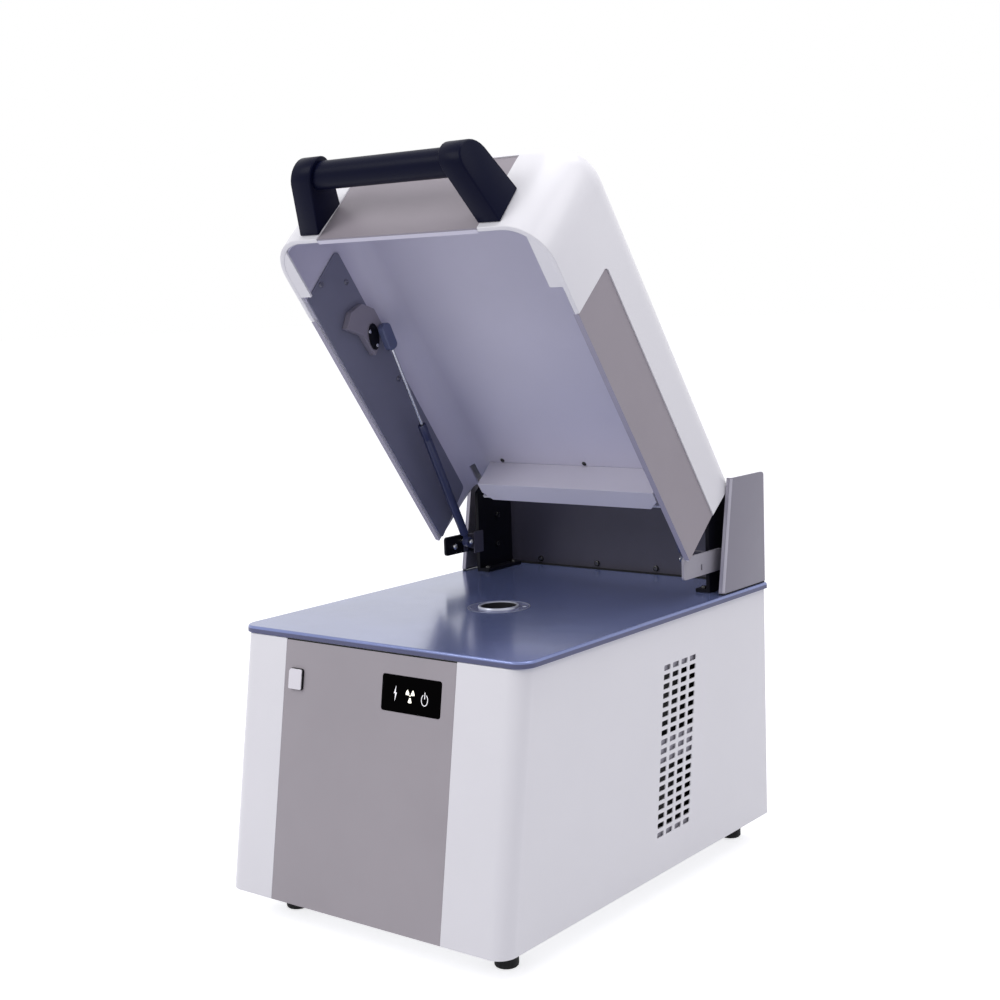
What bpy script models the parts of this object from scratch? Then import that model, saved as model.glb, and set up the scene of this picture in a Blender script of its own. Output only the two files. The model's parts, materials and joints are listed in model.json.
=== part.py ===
"""Benchtop x-ray fluorescence analyzer with a hinged measuring lid.

Metres, +Z up, the front looks to -Y. The origin lies on the table, under the middle of the base.
Places on the lid run forwards from the rear tip of its skirt and upwards from its rim.
"""

import math

import bmesh
import bpy
from mathutils import Matrix, Vector

# Fits and steps
GAP = 0.0003
RUNNING_GAP = 0.0005
OVERRUN = 0.006
JOIN = 0.0005
CORNER_STEPS = 6
EDGE_STEPS = 3
ROUND_SIDES = 24
SCREW_SIDES = 10
SMOOTH_ANGLE = math.radians(32)
SIDES = (("right", 1), ("left", -1))

# Base
BASE_WIDTH = 0.392
BASE_DEPTH = 0.546
SHELL_HEIGHT = 0.2846
SHELL_WALL = 0.0045
FRONT_LEAN = math.radians(9.05)
FRONT_CORNER = 0.020
REAR_CORNER = 0.006
FOOT_HEIGHT = 0.034
FOOT_SIDES = 16
SHELL_HALF = BASE_WIDTH / 2
REAR = BASE_DEPTH / 2
SHELL_TOP = FOOT_HEIGHT + SHELL_HEIGHT
FRONT_BOTTOM = -REAR
FRONT_TOP = FRONT_BOTTOM + SHELL_HEIGHT * math.tan(FRONT_LEAN)
INNER_HALF = SHELL_HALF - SHELL_WALL
INNER_REAR = REAR - SHELL_WALL
FACE_HEIGHT = SHELL_HEIGHT / math.cos(FRONT_LEAN)

# Fascia on the leaning front, measured up that face
FASCIA_HALF_WIDTH = 0.1202
FASCIA_THICKNESS = 0.0025
FASCIA_END_MARGIN = 0.0005
WINDOW_WIDTH = 0.080
WINDOW_HEIGHT = 0.038
WINDOW_CORNER = 0.003
WINDOW_PROUD = 0.0003
WINDOW_BACK = 0.0110
WINDOW_BACK_MARGIN = 0.004
WINDOW_SIDE = 0.0563
WINDOW_DROP = 0.0414
WINDOW_RISE = FACE_HEIGHT - WINDOW_DROP
BUTTON_WIDTH = 0.0205
BUTTON_HEIGHT = 0.0222
BUTTON_CORNER = 0.0026
BUTTON_PROUD = 0.004
BUTTON_DEPTH = 0.0085
BUTTON_TRAVEL = 0.0025
BUTTON_SIDE = -0.1084
BUTTON_DROP = 0.0429
BUTTON_RISE = FACE_HEIGHT - BUTTON_DROP
BUTTON_EDGE = 0.0009
SWITCH_WALL = 0.004
SWITCH_DEPTH = 0.016

# Vent grille of each side
VENT_COLUMNS = 4
VENT_ROWS = 19
VENT_COLUMN_PITCH = 0.0185
VENT_ROW_PITCH = 0.01035
VENT_SLOT_LENGTH = 0.0120
VENT_SLOT_HEIGHT = 0.0056
VENT_FIRST_COLUMN = 0.0413
VENT_DROP = 0.0519
VENT_TOP_RISE = SHELL_HEIGHT - VENT_DROP
VENT_LEAN = math.radians(6.95)

# Deck and sample stage
DECK_OVERHANG = 0.004
DECK_THICKNESS = 0.0077
DECK_CORNER = 0.020
DECK_EDGE = 0.0025
STAGE_Y = -0.0092
STAGE_RADIUS = 0.0365
STAGE_SIDES = 36
STAGE_THICKNESS = 0.0027
STAGE_BORE = 0.0255
RING_OUTER = 0.02425
RING_INNER = 0.0195
RING_PROUD = 0.0005
RING_FUNNEL = 0.0016
RING_LIP = 0.0175
RING_LIP_THICKNESS = 0.0012
FILM_THICKNESS = 0.0003
LAMP_RADIUS = 0.0025
LAMP_X = 0.0256
LAMP_AHEAD = 0.0156
DECK_BOTTOM = SHELL_TOP + GAP
DECK_TOP = DECK_BOTTOM + DECK_THICKNESS
DECK_HALF = SHELL_HALF + DECK_OVERHANG

# Pan and feet
PAN_THICKNESS = 0.003
FOOT_RADIUS = 0.013
FOOT_EDGE = 0.003
FOOT_SIDE_INSET = 0.046
FOOT_FRONT_INSET = 0.0633
FOOT_REAR_INSET = 0.0167
FOOT_X = SHELL_HALF - FOOT_SIDE_INSET
FOOT_FRONT_Y = FRONT_BOTTOM + FOOT_FRONT_INSET
FOOT_REAR_Y = REAR - FOOT_REAR_INSET
STUD_RADIUS = 0.004
STUD_HEIGHT = 0.007
PAN_TOP = FOOT_HEIGHT + PAN_THICKNESS

# Rear panel
PANEL_THICKNESS = 0.002
PANEL_SIDE_MARGIN = 0.0415
PANEL_OPENING_HALF = INNER_HALF - PANEL_SIDE_MARGIN
PANEL_LOW_MARGIN = 0.036
PANEL_TOP_MARGIN = 0.0346
PANEL_OPENING_LOW = FOOT_HEIGHT + PANEL_LOW_MARGIN
PANEL_OPENING_HIGH = SHELL_TOP - PANEL_TOP_MARGIN
PANEL_LAP = 0.010
FAN_INSET = 0.065
FAN_X = FAN_INSET - PANEL_OPENING_HALF
FAN_DROP = 0.084
FAN_Z = PANEL_OPENING_HIGH - FAN_DROP
FAN_SIZE = 0.080
FAN_DEPTH = 0.022
FAN_BORE = 0.0375
FAN_HUB = 0.016
FAN_HUB_DEPTH = 0.013
FAN_TIP_GAP = 0.0012
FAN_BLADES = 7
FAN_CHORD = 0.016
FAN_BLADE_THICKNESS = 0.0012
FAN_ROOT_PITCH = math.radians(38)
FAN_TIP_PITCH = math.radians(26)
FAN_ARM_WIDTH = 0.006
FAN_ARM_DEPTH = 0.003
FAN_ARMS = 3
GRILLE_SLOTS = 9
GRILLE_PITCH = 0.0078
GRILLE_SLOT = 0.0042
INLET_INSET = 0.045
INLET_X = PANEL_OPENING_HALF - INLET_INSET
INLET_RISE = 0.030
INLET_Z = PANEL_OPENING_LOW + INLET_RISE
INLET_WIDTH = 0.0275
INLET_HEIGHT = 0.0200
INLET_FLANGE = 0.0055
INLET_FLANGE_THICKNESS = 0.0025
INLET_DEPTH = 0.022
INLET_SOCKET_MARGIN = 0.002
INLET_SOCKET_DEPTH = 0.016
INLET_CORNER = 0.004
INLET_LOW_CORNER = 0.0015
INLET_PIN_WIDTH = 0.002
INLET_PIN_HEIGHT = 0.004
INLET_PIN_LENGTH = 0.012
INLET_PIN_PITCH = 0.007
SWITCH_PITCH = 0.043
SWITCH_X = INLET_X - SWITCH_PITCH
ROCKER_HALF_WIDTH = 0.0062
ROCKER_HALF_HEIGHT = 0.0095
ROCKER_DEPTH = 0.006
ROCKER_TILT = math.radians(6)
BEZEL_BORDER = 0.003
BEZEL_WALL = 0.0015
BEZEL_DEPTH = 0.013

# Riser behind the lid
RISER_SIDE_INSET = 0.0025
RISER_REAR_INSET = 0.0022
RISER_DEPTH = 0.1041
RISER_SHEET = 0.0025
RISER_BEND = 0.0030
RISER_HEIGHT = 0.1345
RISER_BACK_HEIGHT = 0.1145
RISER_HALF = DECK_HALF - RISER_SIDE_INSET
RISER_REAR_Y = REAR - RISER_REAR_INSET
RISER_FRONT_Y = RISER_REAR_Y - RISER_DEPTH
RISER_LEAN = math.radians(9.9)
RISER_RETURN = 0.0070
RISER_TOP_CORNER = 0.008
GASKET_THICKNESS = 0.0012
GASKET_INSET = 0.0006
BACK_PLATE_THICKNESS = 0.0023
BACK_PLATE_SIDE_GAP = 0.001
CAP_SCREW_X_SHARES = (-0.75, -0.25, 0.25, 0.75)
CAP_SCREW_INSET = 0.0162
CAP_SCREW_SPREAD = RISER_HALF - CAP_SCREW_INSET
CAP_SCREW_RADIUS = 0.0033
CAP_SCREW_LENGTH = 0.0028
CAP_SCREW_RISE = 0.006

# Lid
LID_OPEN = math.radians(53.92)
LID_SIDE_GAP = 0.008
LID_HALF = RISER_HALF - LID_SIDE_GAP
LID_LENGTH = 0.4684
LID_HEIGHT = 0.136
LID_FRONT_LEAN = math.radians(9)
LID_TOP_ROUND = 0.030
LID_REAR_ROUND = 0.008
LID_FRONT_CORNER = 0.048
LID_REAR_CORNER = 0.004
LID_RIM_GAP = 0.001
LID_SIDE_WALL = 0.006
LID_FRONT_WALL = 0.005
LID_TOP_WALL = 0.003
LID_REAR_WALL = 0.003
LID_INNER_ROUND = 0.0195
LID_INNER_CORNER = 0.0435
LID_REAR_LOW = 0.0026
LID_REAR_MID = 0.0081
LID_REAR_HIGH = 0.0089
LID_MID_RISE = 0.0694
LID_HIGH_RISE = 0.1149
LID_REAR_WALL_INSET = 0.0345
LID_REAR_WALL_HALF = LID_HALF - LID_REAR_WALL_INSET
LID_REAR_WALL_LOW = 0.078
GUSSET_WIDTH = 0.022
GUSSET_INNER = LID_HALF - GUSSET_WIDTH
GUSSET_SETBACK = 0.0769
GUSSET_START = LID_LENGTH - GUSSET_SETBACK
GUSSET_THICKNESS = 0.003
GUSSET_INSET = 0.0025
PIVOT_FROM_REAR = 0.066
PIVOT_Y = RISER_REAR_Y - PIVOT_FROM_REAR
PIVOT_ALONG = 0.0055
PIVOT_RISE = 0.123
PIVOT_Z = DECK_TOP + LID_RIM_GAP + PIVOT_RISE

# Lid dress
INLAY_THICKNESS = 0.0012
INLAY_SINK = 0.0015
FRONT_INLAY_INSET = 0.078
FRONT_INLAY_HALF = LID_HALF - FRONT_INLAY_INSET
FRONT_INLAY_TOP = 0.106
SIDE_INLAY_TOP = 0.0704
SIDE_INLAY_SETBACK = 0.1114
SIDE_INLAY_RUN = 0.0085
SIDE_INLAY_FRONT_LOW = LID_LENGTH - SIDE_INLAY_SETBACK
SIDE_INLAY_FRONT_HIGH = SIDE_INLAY_FRONT_LOW + SIDE_INLAY_RUN
SIDE_INLAY_CORNER = 0.006
LINER_WALL = 0.0015
LINER_CEILING = 0.112
LINER_ROUND = 0.0315
LINER_RIM = 0.0035
LINER_REAR = LID_REAR_HIGH + LID_REAR_WALL + GAP
LINER_SLOT_LENGTH = 0.030
LINER_SLOT_MARGIN = 0.0007
PLATE_THICKNESS = 0.0015
PLATE_CORNER = 0.006
PLATE_SETBACK = 0.0834
PLATE_TOP_SETBACK = 0.0669
PLATE_SCREW_SETBACK = 0.1064
PLATE_FRONT = LID_LENGTH - PLATE_SETBACK
PLATE_OUTLINE = ((PLATE_FRONT, 0.0040), (LID_LENGTH - PLATE_TOP_SETBACK, 0.080), (0.0245, 0.078), (0.004, 0.0040))
PLATE_SCREWS = ((PLATE_FRONT, 0.033), (LID_LENGTH - PLATE_SCREW_SETBACK, 0.069), (0.215, 0.069))
PLATE_SCREW_RADIUS = 0.0028
PLATE_SCREW_HEIGHT = 0.0012
FLANGE_INSET = 0.0595
FLANGE_HALF = LID_HALF - FLANGE_INSET
FLANGE_SPLAY = 0.0195
FLANGE_THICKNESS = 0.002
FLANGE_FRONT = 0.053
FLANGE_LOW = 0.0565
FLANGE_TOP = LINER_CEILING - GAP
FLANGE_TOP_BACK = 0.013
FLANGE_REAR = 0.0265
FLANGE_CHAMFER = 0.012
FLANGE_SCREW_INSET = 0.0025
FLANGE_SCREW_X = FLANGE_HALF - FLANGE_SCREW_INSET
FLANGE_SCREW_AHEAD = 0.0038

# Hinge
HINGE_CHEEK_GAP = 0.0225
HINGE_THICKNESS = 0.0045
HINGE_OUTER = RISER_HALF - HINGE_CHEEK_GAP
HINGE_INNER = HINGE_OUTER - HINGE_THICKNESS
HINGE_AHEAD = 0.0315
HINGE_BEHIND = 0.0395
HINGE_FRONT_Y = PIVOT_Y - HINGE_AHEAD
HINGE_REAR_Y = PIVOT_Y + HINGE_BEHIND
HINGE_SHOULDER = 0.104
HINGE_EYE = 0.0062
HINGE_FLANGE_REACH = 0.0145
HINGE_FLANGE_INNER = HINGE_INNER - HINGE_FLANGE_REACH
HINGE_FLANGE_THICKNESS = 0.004
HINGE_BOLTS = ((0.0085, 0.0705), (0.0070, 0.0315))
HINGE_FLANGE_BOLTS_FROM_PIVOT = (-0.0238, 0.0312)
BOLT_RADIUS = 0.0036
BOLT_HEIGHT = 0.0024
PIN_RADIUS = 0.0035
PIN_HEAD_RADIUS = 0.006
PIN_HEAD_LENGTH = 0.0026
PIN_CLIP_RADIUS = 0.0047
PIN_CLIP_LENGTH = 0.0012
ARM_THICKNESS = 0.005
ARM_OUTER = HINGE_INNER - RUNNING_GAP
ARM_INNER = ARM_OUTER - ARM_THICKNESS
ARM_EYE = 0.0068
ARM_DROP = 0.0085
ARM_TOP = 0.0087
ARM_DROP_START = 0.022
ARM_LENGTH = 0.090
ARM_SIDES = 10

# Handle
HANDLE_RADIUS = 0.0154
HANDLE_STANDOFF = 0.0589
HANDLE_ALONG = LID_LENGTH + HANDLE_STANDOFF
HANDLE_RISE = 0.0325
HANDLE_BRACKET_INSET = 0.0785
HANDLE_BRACKET_WIDTH = 0.029
HANDLE_BRACKET_INNER = LID_HALF - HANDLE_BRACKET_INSET
HANDLE_BRACKET_OUTER = HANDLE_BRACKET_INNER + HANDLE_BRACKET_WIDTH
HANDLE_BRACKET_LOW = 0.0055
HANDLE_BRACKET_HIGH = 0.054
HANDLE_END_RADIUS = 0.0205
HANDLE_TOE_IN = math.radians(17.5)
HANDLE_BRACKET_EDGE = 0.0016
HANDLE_END_SIDES = 12
HANDLE_ARC_SHARES = (-0.44, 0.47)

# Gas struts
STRUT_INSET = 0.0115
STUD_AHEAD = 0.0649
STUD_RISE = 0.0449
STRUT_X = HINGE_OUTER - STRUT_INSET
STUD_Y = PIVOT_Y - STUD_AHEAD
STUD_Z = DECK_TOP + STUD_RISE
STRUT_UPPER_BACK = 0.2735
STRUT_UPPER_DROP = 0.0521
CYLINDER_RADIUS = 0.0055
CYLINDER_START = 0.012
CYLINDER_END = 0.178
CYLINDER_SIDES = 12
STRUT_EYE_RADIUS = 0.0065
STRUT_EYE_HALF = 0.0040
STRUT_NECK_RADIUS = 0.0034
STRUT_PIN_RADIUS = 0.0027
ROD_RADIUS = 0.0020
ROD_BORE = 0.0025
ROD_START = 0.112
BORE_START = 0.018
ROD_END_WIDTH = 0.020
ROD_END_LENGTH = 0.035
ROD_END_INWARD = 0.0065
ROD_END_OUTWARD = 0.0045
ROD_END_CORNER = 0.005
STRUT_PLATE_THICKNESS = 0.0032
STRUT_PLATE_AHEAD = 0.0299
STRUT_PLATE_BEHIND = 0.0601
STRUT_PLATE_FRONT_Y = STUD_Y - STRUT_PLATE_AHEAD
STRUT_PLATE_REAR_Y = STUD_Y + STRUT_PLATE_BEHIND
STRUT_PLATE_LOW = 0.029
STRUT_PLATE_HIGH = 0.053
STRUT_PLATE_CORNER = 0.004
STRUT_BOLT_AHEAD = 0.0139
STRUT_BOLT_DROP = 0.0055
STRUT_PLATE_BOLT = (STUD_Y - STRUT_BOLT_AHEAD, STUD_Z - STRUT_BOLT_DROP)
STRUT_SLOT_BEHIND = 0.0241
STRUT_SLOT_Y = STUD_Y + STRUT_SLOT_BEHIND
STRUT_SLOT_RISE = 0.042
STRUT_SLOT_WIDTH = 0.0025
STRUT_SLOT_HEIGHT = 0.0075
BLOCK_OFFSET = 0.007
BLOCK_INNER = STRUT_X + BLOCK_OFFSET
BLOCK_OUTLINE = ((0.343, 0.058), (0.319, 0.036), (0.296, 0.0555), (0.265, 0.062), (0.311, 0.084))
BLOCK_CORNER = 0.004
KEEPER_THICKNESS = 0.0016
KEEPER_ALONG = 0.297
KEEPER_RISE = 0.063
KEEPER_HALF_LENGTH = 0.012
KEEPER_HALF_WIDTH = 0.0068
KEEPER_TURN = math.radians(-25)
KEEPER_SIDES = 20

# Measuring head under the stage
HEAD_HALF_WIDTH = 0.055
HEAD_HALF_DEPTH = 0.045
HEAD_HEIGHT = 0.036
HEAD_BORE = 0.014
SHUTTER_THICKNESS = 0.003
SHUTTER_HALF_DEPTH = 0.021
SHUTTER_SHORT = 0.020
SHUTTER_LONG = 0.054
SHUTTER_TRAVEL = 0.030
SHUTTER_HOLE = 0.012
TUBE_RADIUS = 0.021
TUBE_COLLAR_RADIUS = 0.030
TUBE_COLLAR_HEIGHT = 0.008
DETECTOR_RADIUS = 0.015
DETECTOR_LENGTH = 0.085
DETECTOR_DROP = 0.018
GENERATOR_HALF_WIDTH = 0.060
GENERATOR_HALF_DEPTH = 0.070
GENERATOR_HEIGHT = 0.110
GENERATOR_EDGE = 0.002
SUPPLY_WIDTH = 0.110
SUPPLY_DEPTH = 0.100
SUPPLY_HEIGHT = 0.045
SUPPLY_SIDE_GAP = 0.0215
SUPPLY_REAR_GAP = 0.0335
SUPPLY_X = INNER_HALF - SUPPLY_SIDE_GAP - SUPPLY_WIDTH / 2
SUPPLY_Y = INNER_REAR - SUPPLY_REAR_GAP - SUPPLY_DEPTH / 2
BOARD_SIDE_GAP = 0.0715
BOARD_X = BOARD_SIDE_GAP - INNER_HALF
BOARD_THICKNESS = 0.0016
BOARD_FRONT_Y = -0.150
BOARD_REAR_Y = 0.120
BOARD_HEIGHT = 0.140
CHIP_HEIGHT = 0.003
CHIP_SIZE = 0.022
CHIP_PLACE_SHARES = ((0.2, 0.3), (0.45, 0.62), (0.7, 0.35), (0.85, 0.75))


# Shapes: points with the loops of points that make the faces

def merged(shapes):
    points, loops = [], []
    for more_points, more_loops in shapes:
        start = len(points)
        points += more_points
        loops += [tuple(start + i for i in loop) for loop in more_loops]
    return points, loops


def moved(shape, matrix):
    points, loops = shape
    return [matrix @ point for point in points], loops


def on_side(shape, side):
    """Carries a shape of the right-hand side to the side asked for."""
    return moved(shape, Matrix.Diagonal((side, 1, 1, 1)))


def band(first, second, count):
    return [(first + i, first + (i + 1) % count, second + (i + 1) % count, second + i) for i in range(count)]


def stack(rings):
    """A solid through rings of equal length, closed by a flat face at each end."""
    count = len(rings[0])
    last = (len(rings) - 1) * count
    loops = [tuple(range(count)), tuple(range(last, last + count))]
    for level in range(len(rings) - 1):
        loops += band(level * count, (level + 1) * count, count)
    return [point for ring in rings for point in ring], loops


def hoop(rings):
    """A solid whose last ring joins its first one."""
    count = len(rings[0])
    loops = []
    for level in range(len(rings)):
        loops += band(level * count, (level + 1) % len(rings) * count, count)
    return [point for ring in rings for point in ring], loops


def placed(point, axis, level):
    values = list(point)
    values.insert("xyz".index(axis), level)
    return Vector(values)


def prism(outline, axis, low, high):
    """An outline in the other two axes, pushed along one axis."""
    return stack([[placed(point, axis, level) for point in outline] for level in (low, high)])


def rectangle(low_a, high_a, low_b, high_b):
    return [(low_a, low_b), (high_a, low_b), (high_a, high_b), (low_a, high_b)]


def box(x, y, z):
    """A box from a (low, high) pair for each axis."""
    return prism(rectangle(*x, *y), "z", *z)


def around(middle, half):
    return middle - half, middle + half


def rounded(points, radii, steps=CORNER_STEPS):
    """An outline whose corners are arcs, with one radius for all or one for each."""
    outline = []
    for i, corner in enumerate(points):
        radius = radii[i] if isinstance(radii, tuple) else radii
        here = Vector(corner)
        back = (Vector(points[i - 1]) - here).normalized()
        ahead = (Vector(points[(i + 1) % len(points)]) - here).normalized()
        half = back.angle(ahead) / 2
        centre = here + (back + ahead).normalized() * (radius / math.sin(half))
        arm = here + back * (radius / math.tan(half)) - centre
        turn = math.copysign(math.pi - 2 * half, back.x * ahead.y - back.y * ahead.x)
        for step in range(steps + 1):
            outline.append(centre + Matrix.Rotation(-turn * step / steps, 2) @ arm)
    return outline


def circle(radius, centre=(0, 0), sides=ROUND_SIDES):
    angles = [2 * math.pi * i / sides for i in range(sides)]
    return [(centre[0] + radius * math.cos(a), centre[1] + radius * math.sin(a)) for a in angles]


def arc(centre, radius, start, end, steps):
    angles = [start + (end - start) * i / steps for i in range(steps + 1)]
    return [(centre[0] + radius * math.cos(a), centre[1] + radius * math.sin(a)) for a in angles]


def turned(profile, axis, centre=(0, 0), sides=ROUND_SIDES):
    """A solid of (radius, level) pairs round an axis."""
    return stack([[placed(p, axis, level) for p in circle(radius, centre, sides)] for radius, level in profile])


def turned_ring(profile, axis, centre=(0, 0), sides=ROUND_SIDES):
    """A ring whose section is a closed profile of (radius, level) pairs."""
    return hoop([[placed(p, axis, level) for p in circle(radius, centre, sides)] for radius, level in profile])


def peg(radius, axis, centre, low, high, sides=SCREW_SIDES):
    return turned([(radius, low), (radius, high)], axis, centre, sides)


# Materials and nodes

def paint(name, colour, metallic, roughness):
    material = bpy.data.materials.new(name)
    material.use_nodes = True
    surface = material.node_tree.nodes["Principled BSDF"]
    surface.inputs["Base Color"].default_value = (*colour, 1)
    surface.inputs["Metallic"].default_value = metallic
    surface.inputs["Roughness"].default_value = roughness
    return material


def make_materials():
    values = {
        "shell_white": ((0.78, 0.78, 0.82), 0.0, 0.32),
        "fascia_taupe": ((0.36, 0.34, 0.345), 0.0, 0.42),
        "inlay_taupe": ((0.40, 0.375, 0.38), 0.0, 0.40),
        "deck_blue": ((0.17, 0.205, 0.33), 0.35, 0.28),
        "liner_grey": ((0.36, 0.37, 0.47), 0.1, 0.45),
        "plate_slate": ((0.085, 0.09, 0.12), 0.2, 0.42),
        "riser_grey": ((0.45, 0.45, 0.47), 0.0, 0.40),
        "riser_dark": ((0.03, 0.03, 0.04), 0.2, 0.45),
        "flange_grey": ((0.40, 0.40, 0.45), 0.1, 0.42),
        "hinge_black": ((0.012, 0.012, 0.014), 0.3, 0.40),
        "handle_navy": ((0.012, 0.014, 0.030), 0.0, 0.38),
        "fitting_navy": ((0.014, 0.017, 0.038), 0.1, 0.40),
        "foot_rubber": ((0.012, 0.012, 0.012), 0.0, 0.75),
        "window_black": ((0.006, 0.006, 0.007), 0.0, 0.10),
        "button_white": ((0.82, 0.82, 0.84), 0.0, 0.30),
        "stage_steel": ((0.42, 0.44, 0.50), 0.9, 0.30),
        "ring_bright": ((0.72, 0.73, 0.76), 1.0, 0.18),
        "film_clear": ((0.05, 0.05, 0.07), 0.0, 0.12),
        "lamp_lens": ((0.75, 0.78, 0.80), 0.0, 0.15),
        "pin_steel": ((0.55, 0.56, 0.58), 1.0, 0.28),
        "pan_zinc": ((0.48, 0.49, 0.50), 0.9, 0.45),
        "panel_grey": ((0.45, 0.45, 0.47), 0.1, 0.45),
        "plastic_black": ((0.015, 0.015, 0.016), 0.0, 0.45),
        "head_aluminium": ((0.60, 0.61, 0.63), 1.0, 0.35),
        "tube_nickel": ((0.55, 0.54, 0.52), 1.0, 0.30),
        "board_green": ((0.02, 0.12, 0.05), 0.0, 0.50),
    }
    return {name: paint(name, *value) for name, value in values.items()}


def mesh_of(name, shape):
    mesh = bpy.data.meshes.new(name)
    work = bmesh.new()
    points, loops = shape
    verts = [work.verts.new(point) for point in points]
    for loop in loops:
        work.faces.new([verts[i] for i in loop])
    bmesh.ops.recalc_face_normals(work, faces=work.faces)
    work.to_mesh(mesh)
    work.free()
    return mesh


def linked(name, data, parent=None):
    thing = bpy.data.objects.new(name, data)
    bpy.context.scene.collection.objects.link(thing)
    thing.parent = parent
    return thing


def settle(body):
    """Makes what the modifiers give the mesh of the body itself."""
    bpy.context.view_layer.update()
    mesh = bpy.data.meshes.new_from_object(body.evaluated_get(bpy.context.evaluated_depsgraph_get()))
    body.modifiers.clear()
    body.data = mesh


def combine(body, shapes, operation):
    if not shapes:
        return
    tool = linked(body.name + "_tool", mesh_of(body.name + "_tool", merged(shapes)), body.parent)
    tool.location = body.location
    step = body.modifiers.new(operation.title(), "BOOLEAN")
    step.operation = operation
    step.object = tool
    settle(body)
    bpy.data.objects.remove(tool)


def node(name, material, shape, added=(), removed=(), parent=None, edge=0.0):
    """One sub-part: a shape with softened edges, then what is joined to it and cut from it."""
    body = linked(name, mesh_of(name, shape), parent)
    body.data.materials.append(material)
    if edge:
        bevel = body.modifiers.new("Bevel", "BEVEL")
        bevel.width = edge
        bevel.segments = 2
        bevel.limit_method = "ANGLE"
        bevel.angle_limit = SMOOTH_ANGLE
        settle(body)
    combine(body, added, "UNION")
    combine(body, removed, "DIFFERENCE")
    body.data.shade_smooth()
    body.data.set_sharp_from_angle(angle=SMOOTH_ANGLE)
    return body


def frame_at(name, location, turn_x=0.0, parent=None):
    """An empty that carries pieces, turned about X."""
    empty = linked(name, None, parent)
    empty.location = location
    empty.rotation_euler = (turn_x, 0, 0)
    return empty


# Base

def base_plan(half, front, rear, front_radius, rear_radius, level):
    corners = [(-half, front), (half, front), (half, rear), (-half, rear)]
    radii = (front_radius, front_radius, rear_radius, rear_radius)
    return [Vector((*point, level)) for point in rounded(corners, radii)]


def vent_cutters():
    """Slots in rows that lean with their columns, cut through both walls at once."""
    slot = rectangle(*around(0, VENT_SLOT_LENGTH / 2), *around(0, VENT_SLOT_HEIGHT / 2))
    lean = math.tan(VENT_LEAN)
    cutters = []
    for column in range(VENT_COLUMNS):
        for row in range(VENT_ROWS):
            rise = FOOT_HEIGHT + VENT_TOP_RISE - row * VENT_ROW_PITCH
            along = VENT_FIRST_COLUMN + column * VENT_COLUMN_PITCH - row * VENT_ROW_PITCH * lean
            outline = [(along + y + z * lean, rise + z) for y, z in slot]
            cutters.append(prism(outline, "x", *around(0, SHELL_HALF + OVERRUN)))
    return cutters


def make_housing_shell(paints, front):
    levels = ((FOOT_HEIGHT, FRONT_BOTTOM), (SHELL_TOP, FRONT_TOP))
    outer = [base_plan(SHELL_HALF, y, REAR, FRONT_CORNER, REAR_CORNER, z) for z, y in levels]
    inner_corners = FRONT_CORNER - SHELL_WALL, REAR_CORNER - SHELL_WALL
    inner = [base_plan(INNER_HALF, y + SHELL_WALL, INNER_REAR, *inner_corners, z) for z, y in levels]
    to_face = front.matrix_basis
    pocket_half = FASCIA_HALF_WIDTH + GAP
    pocket = box((-pocket_half, pocket_half), (-OVERRUN, FASCIA_THICKNESS + GAP),
                 (-OVERRUN, FACE_HEIGHT + OVERRUN))
    through = (0, SHELL_WALL + OVERRUN)
    window = prism(window_outline(GAP - WINDOW_BACK_MARGIN), "y", *through)
    button = prism(button_outline(RUNNING_GAP), "y", *through)
    rear = box(around(0, PANEL_OPENING_HALF), (INNER_REAR - OVERRUN, REAR + OVERRUN),
               (PANEL_OPENING_LOW, PANEL_OPENING_HIGH))
    cuts = [moved(pocket, to_face), rear] + vent_cutters()
    shell = node("housing_shell", paints["shell_white"], hoop(outer + inner[::-1]), removed=cuts)
    combine(shell, [moved(window, to_face), moved(button, to_face)], "DIFFERENCE")
    shell.data.shade_smooth()
    shell.data.set_sharp_from_angle(angle=SMOOTH_ANGLE)


def make_base_pan(paints):
    front = FRONT_BOTTOM + SHELL_WALL + PAN_THICKNESS * math.tan(FRONT_LEAN) + GAP
    corners = FRONT_CORNER - SHELL_WALL, REAR_CORNER - SHELL_WALL
    rings = [base_plan(INNER_HALF - GAP, front, INNER_REAR - GAP, *corners, z) for z in (FOOT_HEIGHT, PAN_TOP)]
    holes = [peg(STUD_RADIUS + GAP, "z", place, FOOT_HEIGHT - OVERRUN, PAN_TOP + OVERRUN) for _, place in foot_places()]
    node("base_pan", paints["pan_zinc"], stack(rings), removed=holes)


def foot_places():
    rows = (("front", FOOT_FRONT_Y), ("rear", FOOT_REAR_Y))
    return [(f"{row}_{side}", (sign * FOOT_X, y)) for row, y in rows for side, sign in SIDES]


def make_feet(paints):
    top = FOOT_HEIGHT - GAP
    turns = [math.pi / 2 * i / EDGE_STEPS for i in range(EDGE_STEPS + 1)]
    edge = [(FOOT_RADIUS - FOOT_EDGE * (1 - math.sin(t)), FOOT_EDGE * (1 - math.cos(t))) for t in turns]
    stud = [(STUD_RADIUS, top), (STUD_RADIUS, top + STUD_HEIGHT)]
    for place_name, place in foot_places():
        profile = edge + [(FOOT_RADIUS, top)] + stud
        node("foot_" + place_name, paints["foot_rubber"], turned(profile, "z", place, FOOT_SIDES))


# Front

def window_outline(margin):
    width, height = WINDOW_WIDTH / 2 + margin, WINDOW_HEIGHT / 2 + margin
    corners = rectangle(*around(WINDOW_SIDE, width), *around(WINDOW_RISE, height))
    return rounded(corners, WINDOW_CORNER, EDGE_STEPS)


def button_outline(margin):
    width, height = BUTTON_WIDTH / 2 + margin, BUTTON_HEIGHT / 2 + margin
    corners = rectangle(*around(BUTTON_SIDE, width), *around(BUTTON_RISE, height))
    return rounded(corners, BUTTON_CORNER, EDGE_STEPS)


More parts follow.
